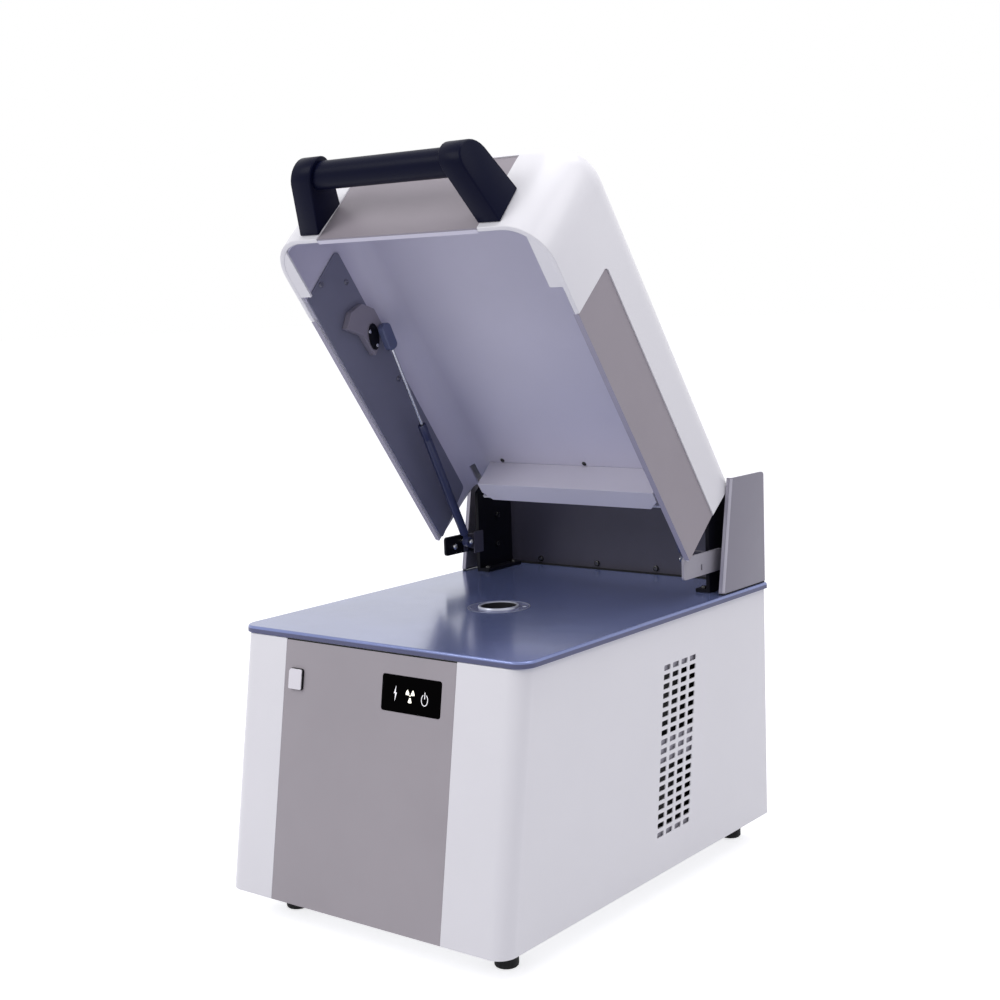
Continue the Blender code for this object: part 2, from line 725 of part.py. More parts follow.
def make_front(paints, front):
    """Fascia, display and button, in the frame of the leaning face: X across, Y inwards, Z up it."""
    heights = (FASCIA_END_MARGIN, FACE_HEIGHT - FASCIA_END_MARGIN)
    plate = box(around(0, FASCIA_HALF_WIDTH), (0, FASCIA_THICKNESS), heights)
    through = (-OVERRUN, FASCIA_THICKNESS + OVERRUN)
    holes = [prism(window_outline(GAP), "y", *through), prism(button_outline(RUNNING_GAP), "y", *through)]
    node("front_fascia", paints["fascia_taupe"], plate, removed=holes, parent=front)
    glass = prism(window_outline(0), "y", -WINDOW_PROUD, FASCIA_THICKNESS)
    back = prism(window_outline(-WINDOW_BACK_MARGIN), "y", FASCIA_THICKNESS - JOIN, WINDOW_BACK)
    node("display_window", paints["window_black"], glass, added=[back], parent=front)
    wall_inside = SHELL_WALL * math.cos(FRONT_LEAN) + GAP
    pocket_depth = BUTTON_DEPTH + BUTTON_TRAVEL + RUNNING_GAP
    guide = prism(button_outline(SWITCH_WALL), "y", wall_inside, SWITCH_DEPTH)
    recess = prism(button_outline(RUNNING_GAP), "y", -OVERRUN, pocket_depth)
    node("switch_body", paints["plastic_black"], guide, removed=[recess], parent=front)


def make_button(paints, front):
    """Push button with its origin on the line of its travel."""
    middle = Vector((BUTTON_SIDE, 0, BUTTON_RISE))
    key = frame_at("button_travel", middle, parent=front)
    body = moved(prism(button_outline(0), "y", -BUTTON_PROUD, BUTTON_DEPTH), Matrix.Translation(-middle))
    node("power_button", paints["button_white"], body, parent=key, edge=BUTTON_EDGE)


# Deck and stage

def make_deck(paints):
    turns = [math.pi / 2 * i / EDGE_STEPS for i in range(EDGE_STEPS + 1)]
    edge = [(DECK_EDGE * (1 - math.sin(t)), DECK_EDGE * (1 - math.cos(t))) for t in turns]
    levels = [(inset, DECK_BOTTOM + rise) for inset, rise in edge]
    levels += [(inset, DECK_TOP - rise) for inset, rise in reversed(edge)]
    rings = []
    for inset, z in levels:
        corners = DECK_CORNER - inset, REAR_CORNER - inset
        rings.append(base_plan(DECK_HALF - inset, FRONT_TOP + inset, REAR - inset, *corners, z))
    recess = peg(STAGE_RADIUS + GAP, "z", (0, STAGE_Y), DECK_TOP - STAGE_THICKNESS - GAP, DECK_TOP + OVERRUN,
                 STAGE_SIDES)
    bore = peg(STAGE_BORE, "z", (0, STAGE_Y), DECK_BOTTOM - OVERRUN, DECK_TOP, ROUND_SIDES)
    deck = node("deck_plate", paints["deck_blue"], stack(rings), removed=[recess])
    combine(deck, [bore], "DIFFERENCE")
    deck.data.shade_smooth()
    deck.data.set_sharp_from_angle(angle=SMOOTH_ANGLE)


def make_stage(paints):
    centre = (0, STAGE_Y)
    low = DECK_TOP - STAGE_THICKNESS
    disc = [(STAGE_RADIUS, low), (STAGE_RADIUS, DECK_TOP), (RING_OUTER + GAP, DECK_TOP), (RING_OUTER + GAP, low)]
    lamp_place = (LAMP_X, STAGE_Y + LAMP_AHEAD)
    lamp_hole = peg(LAMP_RADIUS + GAP, "z", lamp_place, low - OVERRUN, DECK_TOP + OVERRUN)
    node("stage_insert", paints["stage_steel"], turned_ring(disc, "z", centre, STAGE_SIDES), removed=[lamp_hole])
    lamp = turned([(LAMP_RADIUS, low), (LAMP_RADIUS, DECK_TOP), (LAMP_RADIUS / 2, DECK_TOP + GAP)], "z", lamp_place,
                  SCREW_SIDES)
    node("status_lamp", paints["lamp_lens"], lamp)
    top = DECK_TOP + RING_PROUD
    lip = DECK_BOTTOM + RING_LIP_THICKNESS
    section = [(RING_OUTER, DECK_BOTTOM), (RING_OUTER, top), (RING_INNER + RING_FUNNEL, top),
               (RING_INNER, top - RING_FUNNEL), (RING_INNER, lip), (RING_LIP, lip), (RING_LIP, DECK_BOTTOM)]
    node("aperture_ring", paints["ring_bright"], turned_ring(section, "z", centre))
    film = peg(RING_INNER - GAP, "z", centre, lip + GAP, lip + GAP + FILM_THICKNESS, ROUND_SIDES)
    node("beam_window", paints["film_clear"], film)


# Rear

def rear_faces():
    """Where the rear panel lies, front face and rear face."""
    return INNER_REAR - GAP - PANEL_THICKNESS, INNER_REAR - GAP


def grille_cutters(front, rear):
    cutters = []
    reach = FAN_BORE - GRILLE_SLOT
    for i in range(GRILLE_SLOTS):
        aside = (i - (GRILLE_SLOTS - 1) / 2) * GRILLE_PITCH
        half = math.sqrt(reach ** 2 - aside ** 2)
        corners = rectangle(*around(FAN_X + aside, GRILLE_SLOT / 2), *around(FAN_Z, half))
        cutters.append(prism(rounded(corners, GRILLE_SLOT / 2 - JOIN, 1), "y", front, rear))
    return cutters


def inlet_outline(margin):
    width, height = INLET_WIDTH / 2 + margin, INLET_HEIGHT / 2 + margin
    corners = rectangle(*around(INLET_X, width), *around(INLET_Z, height))
    return rounded(corners, (INLET_LOW_CORNER, INLET_LOW_CORNER, INLET_CORNER, INLET_CORNER), 1)


def bezel_outline(margin):
    width, height = ROCKER_HALF_WIDTH + margin, ROCKER_HALF_HEIGHT + margin
    return rectangle(*around(SWITCH_X, width), *around(INLET_Z, height))


def make_rear_panel(paints):
    front, rear = rear_faces()
    half = PANEL_OPENING_HALF + PANEL_LAP
    plate = box(around(0, half), (front, rear), (PANEL_OPENING_LOW - PANEL_LAP, PANEL_OPENING_HIGH + PANEL_LAP))
    past = (front - OVERRUN, rear + OVERRUN)
    cuts = grille_cutters(*past)
    cuts.append(prism(inlet_outline(GAP), "y", *past))
    cuts.append(prism(bezel_outline(RUNNING_GAP + BEZEL_WALL + GAP), "y", *past))
    node("rear_panel", paints["panel_grey"], plate, removed=cuts)


def make_inlet(paints):
    front, rear = rear_faces()
    face = rear + GAP
    flange = prism(inlet_outline(INLET_FLANGE), "y", face, face + INLET_FLANGE_THICKNESS)
    body = prism(inlet_outline(0), "y", rear - INLET_DEPTH, face + JOIN)
    mouth = face + INLET_FLANGE_THICKNESS
    floor = mouth - INLET_SOCKET_DEPTH
    socket = prism(inlet_outline(-INLET_SOCKET_MARGIN), "y", floor, mouth + OVERRUN)
    pins = []
    for i in (-1, 0, 1):
        x = around(INLET_X + i * INLET_PIN_PITCH, INLET_PIN_WIDTH / 2)
        z = around(INLET_Z + (i == 0) * INLET_PIN_HEIGHT / 2, INLET_PIN_HEIGHT / 2)
        pins.append(box(x, (floor - JOIN, floor + INLET_PIN_LENGTH), z))
    inlet = node("power_inlet", paints["plastic_black"], flange, added=[body], removed=[socket])
    combine(inlet, pins, "UNION")


def make_switch(paints):
    """Bezel in the panel, and the rocker on an axis in the plane of the bezel's face."""
    front, rear = rear_faces()
    face = rear + GAP
    opening = RUNNING_GAP
    border = prism(bezel_outline(opening + BEZEL_WALL + BEZEL_BORDER), "y", face, face + INLET_FLANGE_THICKNESS)
    sleeve = prism(bezel_outline(opening + BEZEL_WALL), "y", rear - BEZEL_DEPTH, face + JOIN)
    hollow = prism(bezel_outline(opening), "y", rear - BEZEL_DEPTH + BEZEL_WALL, face + OVERRUN)
    node("switch_bezel", paints["plastic_black"], border, added=[sleeve], removed=[hollow])
    axis = frame_at("rocker_axis", (SWITCH_X, face, INLET_Z))
    rise = ROCKER_HALF_HEIGHT * math.cos(ROCKER_TILT) - GAP
    outward = ROCKER_HALF_HEIGHT * math.sin(ROCKER_TILT)
    side = [(INLET_FLANGE_THICKNESS, 0), (INLET_FLANGE_THICKNESS + outward * 2, rise),
            (-ROCKER_DEPTH / 2, rise), (-ROCKER_DEPTH, 0), (-ROCKER_DEPTH / 2, -rise),
            (INLET_FLANGE_THICKNESS, -rise)]
    node("rocker_switch", paints["plastic_black"], prism(side, "x", *around(0, ROCKER_HALF_WIDTH)), parent=axis)


def make_fan(paints):
    front, _ = rear_faces()
    rear = front - GAP
    low = rear - FAN_DEPTH
    frame = box(around(FAN_X, FAN_SIZE / 2), (low, rear), around(FAN_Z, FAN_SIZE / 2))
    centre = (FAN_X, FAN_Z)
    bore = peg(FAN_BORE, "y", centre, low - OVERRUN, rear + OVERRUN, ROUND_SIDES)
    hub = peg(FAN_HUB, "y", centre, low, low + FAN_ARM_DEPTH, ROUND_SIDES)
    arms = []
    for i in range(FAN_ARMS):
        arm = box((0, FAN_BORE + JOIN), (low, low + FAN_ARM_DEPTH), around(0, FAN_ARM_WIDTH / 2))
        turn = Matrix.Rotation(2 * math.pi * i / FAN_ARMS, 4, "Y")
        arms.append(moved(arm, Matrix.Translation((FAN_X, 0, FAN_Z)) @ turn))
    frame_node = node("fan_frame", paints["plastic_black"], frame, removed=[bore])
    for shape in (*arms, hub):
        combine(frame_node, [shape], "UNION")
    axis = frame_at("fan_axis", (FAN_X, low + FAN_ARM_DEPTH + RUNNING_GAP, FAN_Z))
    rotor_hub = peg(FAN_HUB, "y", (0, 0), 0, FAN_HUB_DEPTH, ROUND_SIDES)
    blades = [fan_blade(2 * math.pi * i / FAN_BLADES) for i in range(FAN_BLADES)]
    node("fan_rotor", paints["plastic_black"], rotor_hub, added=blades, parent=axis)


def fan_blade(turn):
    """A twisted blade from inside the hub to its tip, turned about the fan's axis."""
    rings = []
    tip = FAN_BORE - FAN_TIP_GAP
    for radius, pitch in ((FAN_HUB - 2 * JOIN, FAN_ROOT_PITCH), (tip, FAN_TIP_PITCH)):
        along = Vector((math.cos(pitch), math.sin(pitch))) * FAN_CHORD / 2
        across = Vector((-math.sin(pitch), math.cos(pitch))) * FAN_BLADE_THICKNESS / 2
        ring = []
        for corner in (along + across, across - along, -along - across, along - across):
            ring.append(Vector((corner.x, FAN_HUB_DEPTH / 2 + corner.y, radius)))
        rings.append(ring)
    return moved(stack(rings), Matrix.Rotation(turn, 4, "Y"))


# Riser

def riser_plan(level, inset):
    """The folded sheet seen from above: two cheeks with a front return each, and the back."""
    front = RISER_FRONT_Y + level * math.tan(RISER_LEAN) + inset
    rear = RISER_REAR_Y - inset
    outer = RISER_HALF - inset
    inner = RISER_HALF - RISER_SHEET + inset
    fold = RISER_HALF - RISER_RETURN + inset
    behind = front + RISER_SHEET - 2 * inset
    wall = RISER_REAR_Y - RISER_SHEET * 2 + inset
    half = [(fold, front), (outer, front), (outer, rear)]
    right = rounded([(0, front)] + half + [(0, rear)], RISER_BEND - inset, EDGE_STEPS)
    bend = right[(EDGE_STEPS + 1) * 2:(EDGE_STEPS + 1) * 4]
    side = [Vector((fold, behind)), Vector((fold, front))] + bend
    back = [Vector((inner, wall)), Vector((inner, behind))]
    mirror = [Vector((-p.x, p.y)) for p in reversed(side)]
    inner_left = [Vector((-inner, behind)), Vector((-inner, wall))]
    low = DECK_TOP + GAP + level
    return [Vector((p.x, p.y, low)) for p in side + mirror + inner_left + back]


def make_riser(paints):
    start = GASKET_THICKNESS + GAP
    rings = [riser_plan(level, 0) for level in (start, start + RISER_HEIGHT)]
    top = DECK_TOP + GAP + start + RISER_HEIGHT
    back_top = DECK_TOP + GAP + start + RISER_BACK_HEIGHT
    gate = box(around(0, RISER_HALF - RISER_SHEET), (RISER_REAR_Y - 2 * RISER_SHEET - OVERRUN, RISER_REAR_Y + OVERRUN),
               (back_top, top + OVERRUN))
    corner = (RISER_REAR_Y - RISER_TOP_CORNER, top - RISER_TOP_CORNER)
    outside = (RISER_REAR_Y + OVERRUN, top + OVERRUN)
    curve = arc(corner, RISER_TOP_CORNER, 0, math.pi / 2, CORNER_STEPS)
    notch = prism([(outside[0], corner[1])] + curve + [(corner[0], outside[1]), outside], "x",
                  *around(0, RISER_HALF + OVERRUN))
    riser = node("riser", paints["riser_grey"], stack(rings), removed=[gate])
    combine(riser, [notch], "DIFFERENCE")
    riser.data.shade_smooth()
    riser.data.set_sharp_from_angle(angle=SMOOTH_ANGLE)
    seal = [riser_plan(level, GASKET_INSET) for level in (0, GASKET_THICKNESS)]
    node("riser_gasket", paints["foot_rubber"], stack(seal))


def make_back_plate(paints):
    rear = RISER_REAR_Y - 2 * RISER_SHEET - GAP
    front = rear - BACK_PLATE_THICKNESS
    half = RISER_HALF - RISER_SHEET - BACK_PLATE_SIDE_GAP
    low = DECK_TOP + GAP
    plate = box(around(0, half), (front, rear), (low, low + RISER_BACK_HEIGHT))
    screws = []
    for share in CAP_SCREW_X_SHARES:
        place = (share * CAP_SCREW_SPREAD, low + CAP_SCREW_RISE)
        screws.append(peg(CAP_SCREW_RADIUS, "y", place, front - CAP_SCREW_LENGTH, front + JOIN))
    node("riser_plate", paints["riser_dark"], plate, added=screws)


# Hinges

def make_hinge_plates(paints):
    low = DECK_TOP + GAP
    shoulder = low + HINGE_SHOULDER
    eye = arc((PIVOT_Y, PIVOT_Z), HINGE_EYE, 0, math.pi, ARM_SIDES)
    outline = [(HINGE_FRONT_Y, low), (HINGE_REAR_Y, low), (HINGE_REAR_Y, shoulder)] + eye + [(HINGE_FRONT_Y, shoulder)]
    flange = box((HINGE_FLANGE_INNER, HINGE_OUTER - JOIN), (HINGE_FRONT_Y, HINGE_REAR_Y),
                 (low, low + HINGE_FLANGE_THICKNESS))
    top = low + HINGE_FLANGE_THICKNESS
    middle = (HINGE_FLANGE_INNER + HINGE_INNER) / 2
    for name, side in SIDES:
        plate = on_side(prism(outline, "x", HINGE_INNER, HINGE_OUTER), side)
        bolts = [peg(BOLT_RADIUS, "x", (PIVOT_Y + behind, DECK_TOP + rise), HINGE_INNER - BOLT_HEIGHT,
                     HINGE_INNER + JOIN) for behind, rise in HINGE_BOLTS]
        bolts += [peg(BOLT_RADIUS, "z", (middle, PIVOT_Y + behind), top - JOIN, top + BOLT_HEIGHT)
                  for behind in HINGE_FLANGE_BOLTS_FROM_PIVOT]
        bore = peg(PIN_RADIUS + GAP, "x", (PIVOT_Y, PIVOT_Z), HINGE_INNER - OVERRUN, HINGE_OUTER + OVERRUN)
        body = node("hinge_plate_" + name, paints["hinge_black"], plate, added=[on_side(flange, side)],
                    removed=[on_side(bore, side)])
        combine(body, [on_side(bolt, side) for bolt in bolts], "UNION")


def make_hinge_pins(paints):
    head = ARM_INNER - RUNNING_GAP - PIN_HEAD_LENGTH
    neck = head + PIN_HEAD_LENGTH
    clip = HINGE_OUTER + GAP
    profile = [(PIN_HEAD_RADIUS, head), (PIN_HEAD_RADIUS, neck), (PIN_RADIUS, neck), (PIN_RADIUS, clip),
               (PIN_CLIP_RADIUS, clip), (PIN_CLIP_RADIUS, clip + PIN_CLIP_LENGTH)]
    for name, side in SIDES:
        shape = turned(profile, "x", (PIVOT_Y, PIVOT_Z), SCREW_SIDES)
        node("hinge_pin_" + name, paints["pin_steel"], on_side(shape, side))


def make_hinge_arms(paints, lid):
    eye = arc((0, 0), ARM_EYE, -math.pi / 2, math.pi / 2, ARM_SIDES)
    outline = eye + [(-ARM_DROP_START, ARM_EYE), (-ARM_DROP_START, ARM_TOP), (-ARM_LENGTH, ARM_TOP),
                     (-ARM_LENGTH, -ARM_DROP), (-ARM_DROP_START, -ARM_DROP)]
    bore = peg(PIN_RADIUS + RUNNING_GAP, "x", (0, 0), ARM_INNER - OVERRUN, ARM_OUTER + OVERRUN)
    for name, side in SIDES:
        shape = on_side(prism(outline, "x", ARM_INNER, ARM_OUTER), side)
        node("hinge_arm_" + name, paints["hinge_black"], shape, removed=[on_side(bore, side)], parent=lid)


# Lid

def lid_point(x, along, rise):
    return Vector((x, PIVOT_ALONG - along, rise - PIVOT_RISE))


def lid_prism(outline, low, high):
    """An outline of (along, rise) pairs, pushed across the lid."""
    return stack([[lid_point(x, *point) for point in outline] for x in (low, high)])


def lid_box(x, along, rise):
    return lid_prism(rectangle(*along, *rise), *x)


def drawn_in(rise, top, radius):
    """How far a round under a flat top has drawn an upright wall in."""
    above = max(0.0, rise - (top - radius))
    return radius - math.sqrt(max(0.0, radius ** 2 - above ** 2))


def lean_front(rise, face, top, radius):
    """The leaning front wall with its round, from where its face meets the rim plane."""
    start = top - radius - radius * math.sin(LID_FRONT_LEAN)
    if rise <= start:
        return face + rise * math.tan(LID_FRONT_LEAN)
    middle = face + start * math.tan(LID_FRONT_LEAN) - radius * math.cos(LID_FRONT_LEAN)
    return middle + math.sqrt(max(0.0, radius ** 2 - (rise - (top - radius)) ** 2))


def rear_edge(rise):
    if rise <= LID_MID_RISE:
        return LID_REAR_LOW + (LID_REAR_MID - LID_REAR_LOW) * max(0.0, rise) / LID_MID_RISE
    share = min(1.0, (rise - LID_MID_RISE) / (LID_HIGH_RISE - LID_MID_RISE))
    return LID_REAR_MID + (LID_REAR_HIGH - LID_REAR_MID) * share


def lid_rises(bottom, top, radius):
    start = top - radius - radius * math.sin(LID_FRONT_LEAN)
    turns = [math.pi / 2 * i / CORNER_STEPS for i in range(CORNER_STEPS + 1)]
    rises = {bottom, start} | {top - radius + radius * math.sin(t) for t in turns}
    return sorted(rises | {LID_MID_RISE} if start > LID_MID_RISE else rises)


def lid_ring(rise, half, rear, front, front_radius, rear_radius):
    corners = [(-half, rear), (half, rear), (half, front), (-half, front)]
    radii = (rear_radius, rear_radius, front_radius, front_radius)
    return [lid_point(*point, rise) for point in rounded(corners, radii)]


def lid_solid(bottom, top, half, face, radius, corner, rear_round, rear_of):
    """A filled lid form: upright sides, leaning front, rounded over into a flat top."""
    rings = []
    for rise in lid_rises(bottom, top, radius):
        inset = drawn_in(rise, top, radius)
        rear = rear_of(rise) + drawn_in(rise, top, rear_round)
        front = lean_front(rise, face, top, radius)
        rings.append(lid_ring(rise, half - inset, rear, front, max(JOIN, corner - inset), LID_REAR_CORNER / 2))
    return stack(rings)


def wall_across_front(thickness):
    return thickness / math.cos(LID_FRONT_LEAN)


def side_inlay_outline(margin, past):
    """The side panel's outline; margin moves its front and top, past its rear and rim."""
    top = SIDE_INLAY_TOP + margin
    corners = [(LID_REAR_LOW - past, -past), (SIDE_INLAY_FRONT_LOW + margin, -past),
               (SIDE_INLAY_FRONT_HIGH + margin, top), (LID_REAR_MID - past, top)]
    return rounded(corners, (JOIN, JOIN, SIDE_INLAY_CORNER, JOIN), EDGE_STEPS)


def front_slab(half, low, high, out, inwards):
    """A slab along the leaning front face, from out before it to inwards behind it."""
    lean = math.tan(LID_FRONT_LEAN)
    outline = [(LID_LENGTH + low * lean + out, low), (LID_LENGTH + high * lean + out, high),
               (LID_LENGTH + high * lean - inwards, high), (LID_LENGTH + low * lean - inwards, low)]
    return lid_prism(outline, -half, half)


def gusset(side):
    """The rim's web in a front corner, inside the shell's own outline."""
    centre = (LID_HALF - LID_FRONT_CORNER, LID_LENGTH - LID_FRONT_CORNER)
    radius = LID_FRONT_CORNER - GUSSET_INSET
    end = math.acos((GUSSET_INNER - centre[0]) / radius)
    points = [(GUSSET_INNER, GUSSET_START), (centre[0] + radius, GUSSET_START)]
    points += arc(centre, radius, 0, end, CORNER_STEPS)
    rings = [[lid_point(*point, rise) for point in points] for rise in (0, GUSSET_THICKNESS)]
    return on_side(stack(rings), side)


def make_lid_shell(paints, lid):
    outer = lid_solid(0, LID_HEIGHT, LID_HALF, LID_LENGTH, LID_TOP_ROUND, LID_FRONT_CORNER, LID_REAR_ROUND, rear_edge)
    inner_top = LID_HEIGHT - LID_TOP_WALL
    inner_half = LID_HALF - LID_SIDE_WALL
    inner = lid_solid(-OVERRUN, inner_top, inner_half, LID_LENGTH - wall_across_front(LID_FRONT_WALL),
                      LID_INNER_ROUND, LID_INNER_CORNER, JOIN, lambda rise: rear_edge(rise) + LID_REAR_WALL)
    shell = node("lid_shell", paints["shell_white"], outer, removed=[inner], parent=lid)
    past = LID_REAR_HIGH + LID_REAR_WALL + OVERRUN
    rear_low = lid_box(around(0, inner_half), (-OVERRUN, past), (-OVERRUN, LID_REAR_WALL_LOW))
    eyes = [on_side(lid_box((LID_REAR_WALL_HALF, inner_half), (-OVERRUN, past),
                            (-OVERRUN, inner_top - LID_INNER_ROUND)), side) for _, side in SIDES]
    clip_end = HINGE_OUTER + GAP + PIN_CLIP_LENGTH + RUNNING_GAP
    openings = ((HINGE_OUTER + GAP, ARM_EYE + GAP), (clip_end, PIN_CLIP_RADIUS + GAP))
    depth = INLAY_THICKNESS + INLAY_SINK + GAP
    side_pocket = lid_prism(side_inlay_outline(GAP, OVERRUN), LID_HALF - depth, LID_HALF + OVERRUN)
    front_depth = wall_across_front(depth)
    front_pocket = front_slab(FRONT_INLAY_HALF + GAP, -OVERRUN, FRONT_INLAY_TOP + GAP, OVERRUN, front_depth)
    combine(shell, [rear_low], "DIFFERENCE")
    combine(shell, eyes, "DIFFERENCE")
    for outer_end, above_pivot in openings:
        slot = lid_box((LID_REAR_WALL_HALF, outer_end), (-OVERRUN, past), (0, PIVOT_RISE + above_pivot))
        combine(shell, [on_side(slot, side) for _, side in SIDES], "DIFFERENCE")
    combine(shell, [on_side(side_pocket, side) for _, side in SIDES], "DIFFERENCE")
    combine(shell, [front_pocket], "DIFFERENCE")
    combine(shell, [gusset(side) for _, side in SIDES], "UNION")
    shell.data.shade_smooth()
    shell.data.set_sharp_from_angle(angle=SMOOTH_ANGLE)


def make_inlays(paints, lid):
    outer = LID_HALF - INLAY_SINK
    panel = lid_prism(side_inlay_outline(0, -JOIN), outer - INLAY_THICKNESS, outer)
    for name, side in SIDES:
        node("side_inlay_" + name, paints["inlay_taupe"], on_side(panel, side), parent=lid)
    sink = wall_across_front(INLAY_SINK)
    depth = wall_across_front(INLAY_SINK + INLAY_THICKNESS)
    panel = front_slab(FRONT_INLAY_HALF, JOIN, FRONT_INLAY_TOP, -sink, depth)
    node("front_inlay", paints["inlay_taupe"], panel, parent=lid)


def make_liner(paints, lid):
    """The pressed tray inside the lid, open at the rim and at the rear."""
    face = LID_LENGTH - wall_across_front(LID_FRONT_WALL + GAP)
    half = LID_HALF - LID_SIDE_WALL - GAP
    corner = LID_INNER_CORNER - GAP
    top = LINER_CEILING + LINER_WALL
    outer = lid_solid(LINER_RIM, top, half, face, LINER_ROUND + LINER_WALL, corner, JOIN, lambda rise: LINER_REAR)
    inner = lid_solid(LINER_RIM - OVERRUN, LINER_CEILING, half - LINER_WALL, face - wall_across_front(LINER_WALL),
                      LINER_ROUND, corner - LINER_WALL, JOIN, lambda rise: LINER_REAR - OVERRUN)
    slot = lid_box((HINGE_INNER - LINER_SLOT_MARGIN, HINGE_OUTER + LINER_SLOT_MARGIN),
                   (LINER_REAR - OVERRUN, LINER_REAR + LINER_SLOT_LENGTH), (0, top + OVERRUN))
    liner = node("lid_liner", paints["liner_grey"], outer, removed=[inner], parent=lid)
    combine(liner, [on_side(slot, side) for _, side in SIDES], "DIFFERENCE")
    ahead = lid_point(0, FLANGE_FRONT - FLANGE_TOP_BACK + FLANGE_SCREW_AHEAD, LINER_CEILING)
    screws = [peg(PLATE_SCREW_RADIUS, "z", (x, ahead.y), ahead.z - PLATE_SCREW_HEIGHT, ahead.z + JOIN)
              for x in (-FLANGE_SCREW_X, 0, FLANGE_SCREW_X)]
    combine(liner, screws, "UNION")
    liner.data.shade_smooth()
    liner.data.set_sharp_from_angle(angle=SMOOTH_ANGLE)


def inner_plate_face():
    """Inner face of the slate plates: shell wall, liner and plate with their gaps."""
    return LID_HALF - LID_SIDE_WALL - GAP - LINER_WALL - GAP - PLATE_THICKNESS


def make_inner_plates(paints, lid):
    face = inner_plate_face()
    outline = rounded(PLATE_OUTLINE, (PLATE_CORNER / 2, PLATE_CORNER, PLATE_CORNER, PLATE_CORNER / 2), EDGE_STEPS)
    plate = lid_prism(outline, face, face + PLATE_THICKNESS)
    heads = []
    for along, rise in PLATE_SCREWS:
        place = lid_point(0, along, rise)
        heads.append(peg(PLATE_SCREW_RADIUS, "x", place.yz, face - PLATE_SCREW_HEIGHT, face + JOIN))
    for name, side in SIDES:
        node("inner_plate_" + name, paints["plate_slate"], on_side(plate, side),
             added=[on_side(head, side) for head in heads], parent=lid)


def flange_ring(half, front, rise):
    """The leaf's outline in the plane of the rim, at a height above it."""
    return [lid_point(*point, rise) for point in rectangle(*around(0, half), front - FLANGE_THICKNESS, front)]


def make_rear_flange(paints, lid):
    """A leaf that leans back and widens up to the liner's ceiling, and its turned-back floor."""
    leaf = stack([flange_ring(FLANGE_HALF, FLANGE_FRONT, FLANGE_LOW),
                  flange_ring(FLANGE_HALF + FLANGE_SPLAY, FLANGE_FRONT - FLANGE_TOP_BACK, FLANGE_TOP)])
    front = FLANGE_FRONT - FLANGE_THICKNESS / 2
    corners = [(-FLANGE_HALF, front), (FLANGE_HALF, front), (FLANGE_HALF, FLANGE_REAR + FLANGE_CHAMFER),
               (FLANGE_HALF - FLANGE_CHAMFER, FLANGE_REAR), (FLANGE_CHAMFER - FLANGE_HALF, FLANGE_REAR),
               (-FLANGE_HALF, FLANGE_REAR + FLANGE_CHAMFER)]
    floor = stack([[lid_point(*point, rise) for point in corners]
                   for rise in (FLANGE_LOW, FLANGE_LOW + FLANGE_THICKNESS)])
    node("rear_flange", paints["flange_grey"], leaf, added=[floor], parent=lid)


# Handle

def toe_in(along):
    """How far a bracket has moved inwards at a place forward of the lid's front face."""
    return (along - LID_LENGTH) * math.tan(HANDLE_TOE_IN)


def make_handle(paints, lid):
    lean = math.tan(LID_FRONT_LEAN)
    clear = wall_across_front(GAP)
    centre = (HANDLE_ALONG, HANDLE_RISE)
    feet = [(LID_LENGTH + rise * lean + clear, rise) for rise in (HANDLE_BRACKET_HIGH, HANDLE_BRACKET_LOW)]
    ends = [math.pi * share for share in HANDLE_ARC_SHARES]
    outline = feet + arc(centre, HANDLE_END_RADIUS, *ends, HANDLE_END_SIDES)
    slab = lid_prism(outline, HANDLE_BRACKET_INNER, HANDLE_BRACKET_OUTER)
    points = [Vector((p.x - toe_in(PIVOT_ALONG - p.y), p.y, p.z)) for p in slab[0]]
    for name, side in SIDES:
        shape = on_side((points, slab[1]), side)
        node("handle_bracket_" + name, paints["handle_navy"], shape, parent=lid, edge=HANDLE_BRACKET_EDGE)
    reach = HANDLE_BRACKET_INNER - GAP
    rings = []
    for side in (-1, 1):
        outline = circle(HANDLE_RADIUS, centre)
        rings.append([lid_point(side * (reach - toe_in(along)), along, rise) for along, rise in outline])
    node("handle_tube", paints["handle_navy"], stack(rings), parent=lid)


# Struts

def strut_reach(lid_turn):
    """The way from the lower stud to the upper end, for a turn of the lid about +X."""
    upper = Matrix.Rotation(lid_turn, 2) @ Vector((-STRUT_UPPER_BACK, -STRUT_UPPER_DROP))
    return Vector((PIVOT_Y + upper.x - STUD_Y, PIVOT_Z + upper.y - STUD_Z))


def make_strut_brackets(paints):
    low = DECK_TOP
    corners = rectangle(STRUT_PLATE_FRONT_Y, STRUT_PLATE_REAR_Y, low + STRUT_PLATE_LOW, low + STRUT_PLATE_HIGH)
    face = HINGE_OUTER + GAP
    outline = rounded(corners, STRUT_PLATE_CORNER, EDGE_STEPS)
    plate = prism(outline, "x", face, face + STRUT_PLATE_THICKNESS)
    stud = peg(STRUT_PIN_RADIUS, "x", (STUD_Y, STUD_Z), STRUT_X - STRUT_EYE_HALF - BOLT_HEIGHT, face + JOIN)
    bolt = peg(BOLT_RADIUS, "x", STRUT_PLATE_BOLT, face - BOLT_HEIGHT, face + JOIN)
    slot = box((face - OVERRUN, face + STRUT_PLATE_THICKNESS + OVERRUN),
               around(STRUT_SLOT_Y, STRUT_SLOT_WIDTH / 2), around(low + STRUT_SLOT_RISE, STRUT_SLOT_HEIGHT / 2))
    for (name, side), finish in zip(SIDES, ("flange_grey", "hinge_black")):
        node("strut_bracket_" + name, paints[finish], on_side(plate, side),
             added=[on_side(shape, side) for shape in (stud, bolt)], removed=[on_side(slot, side)])


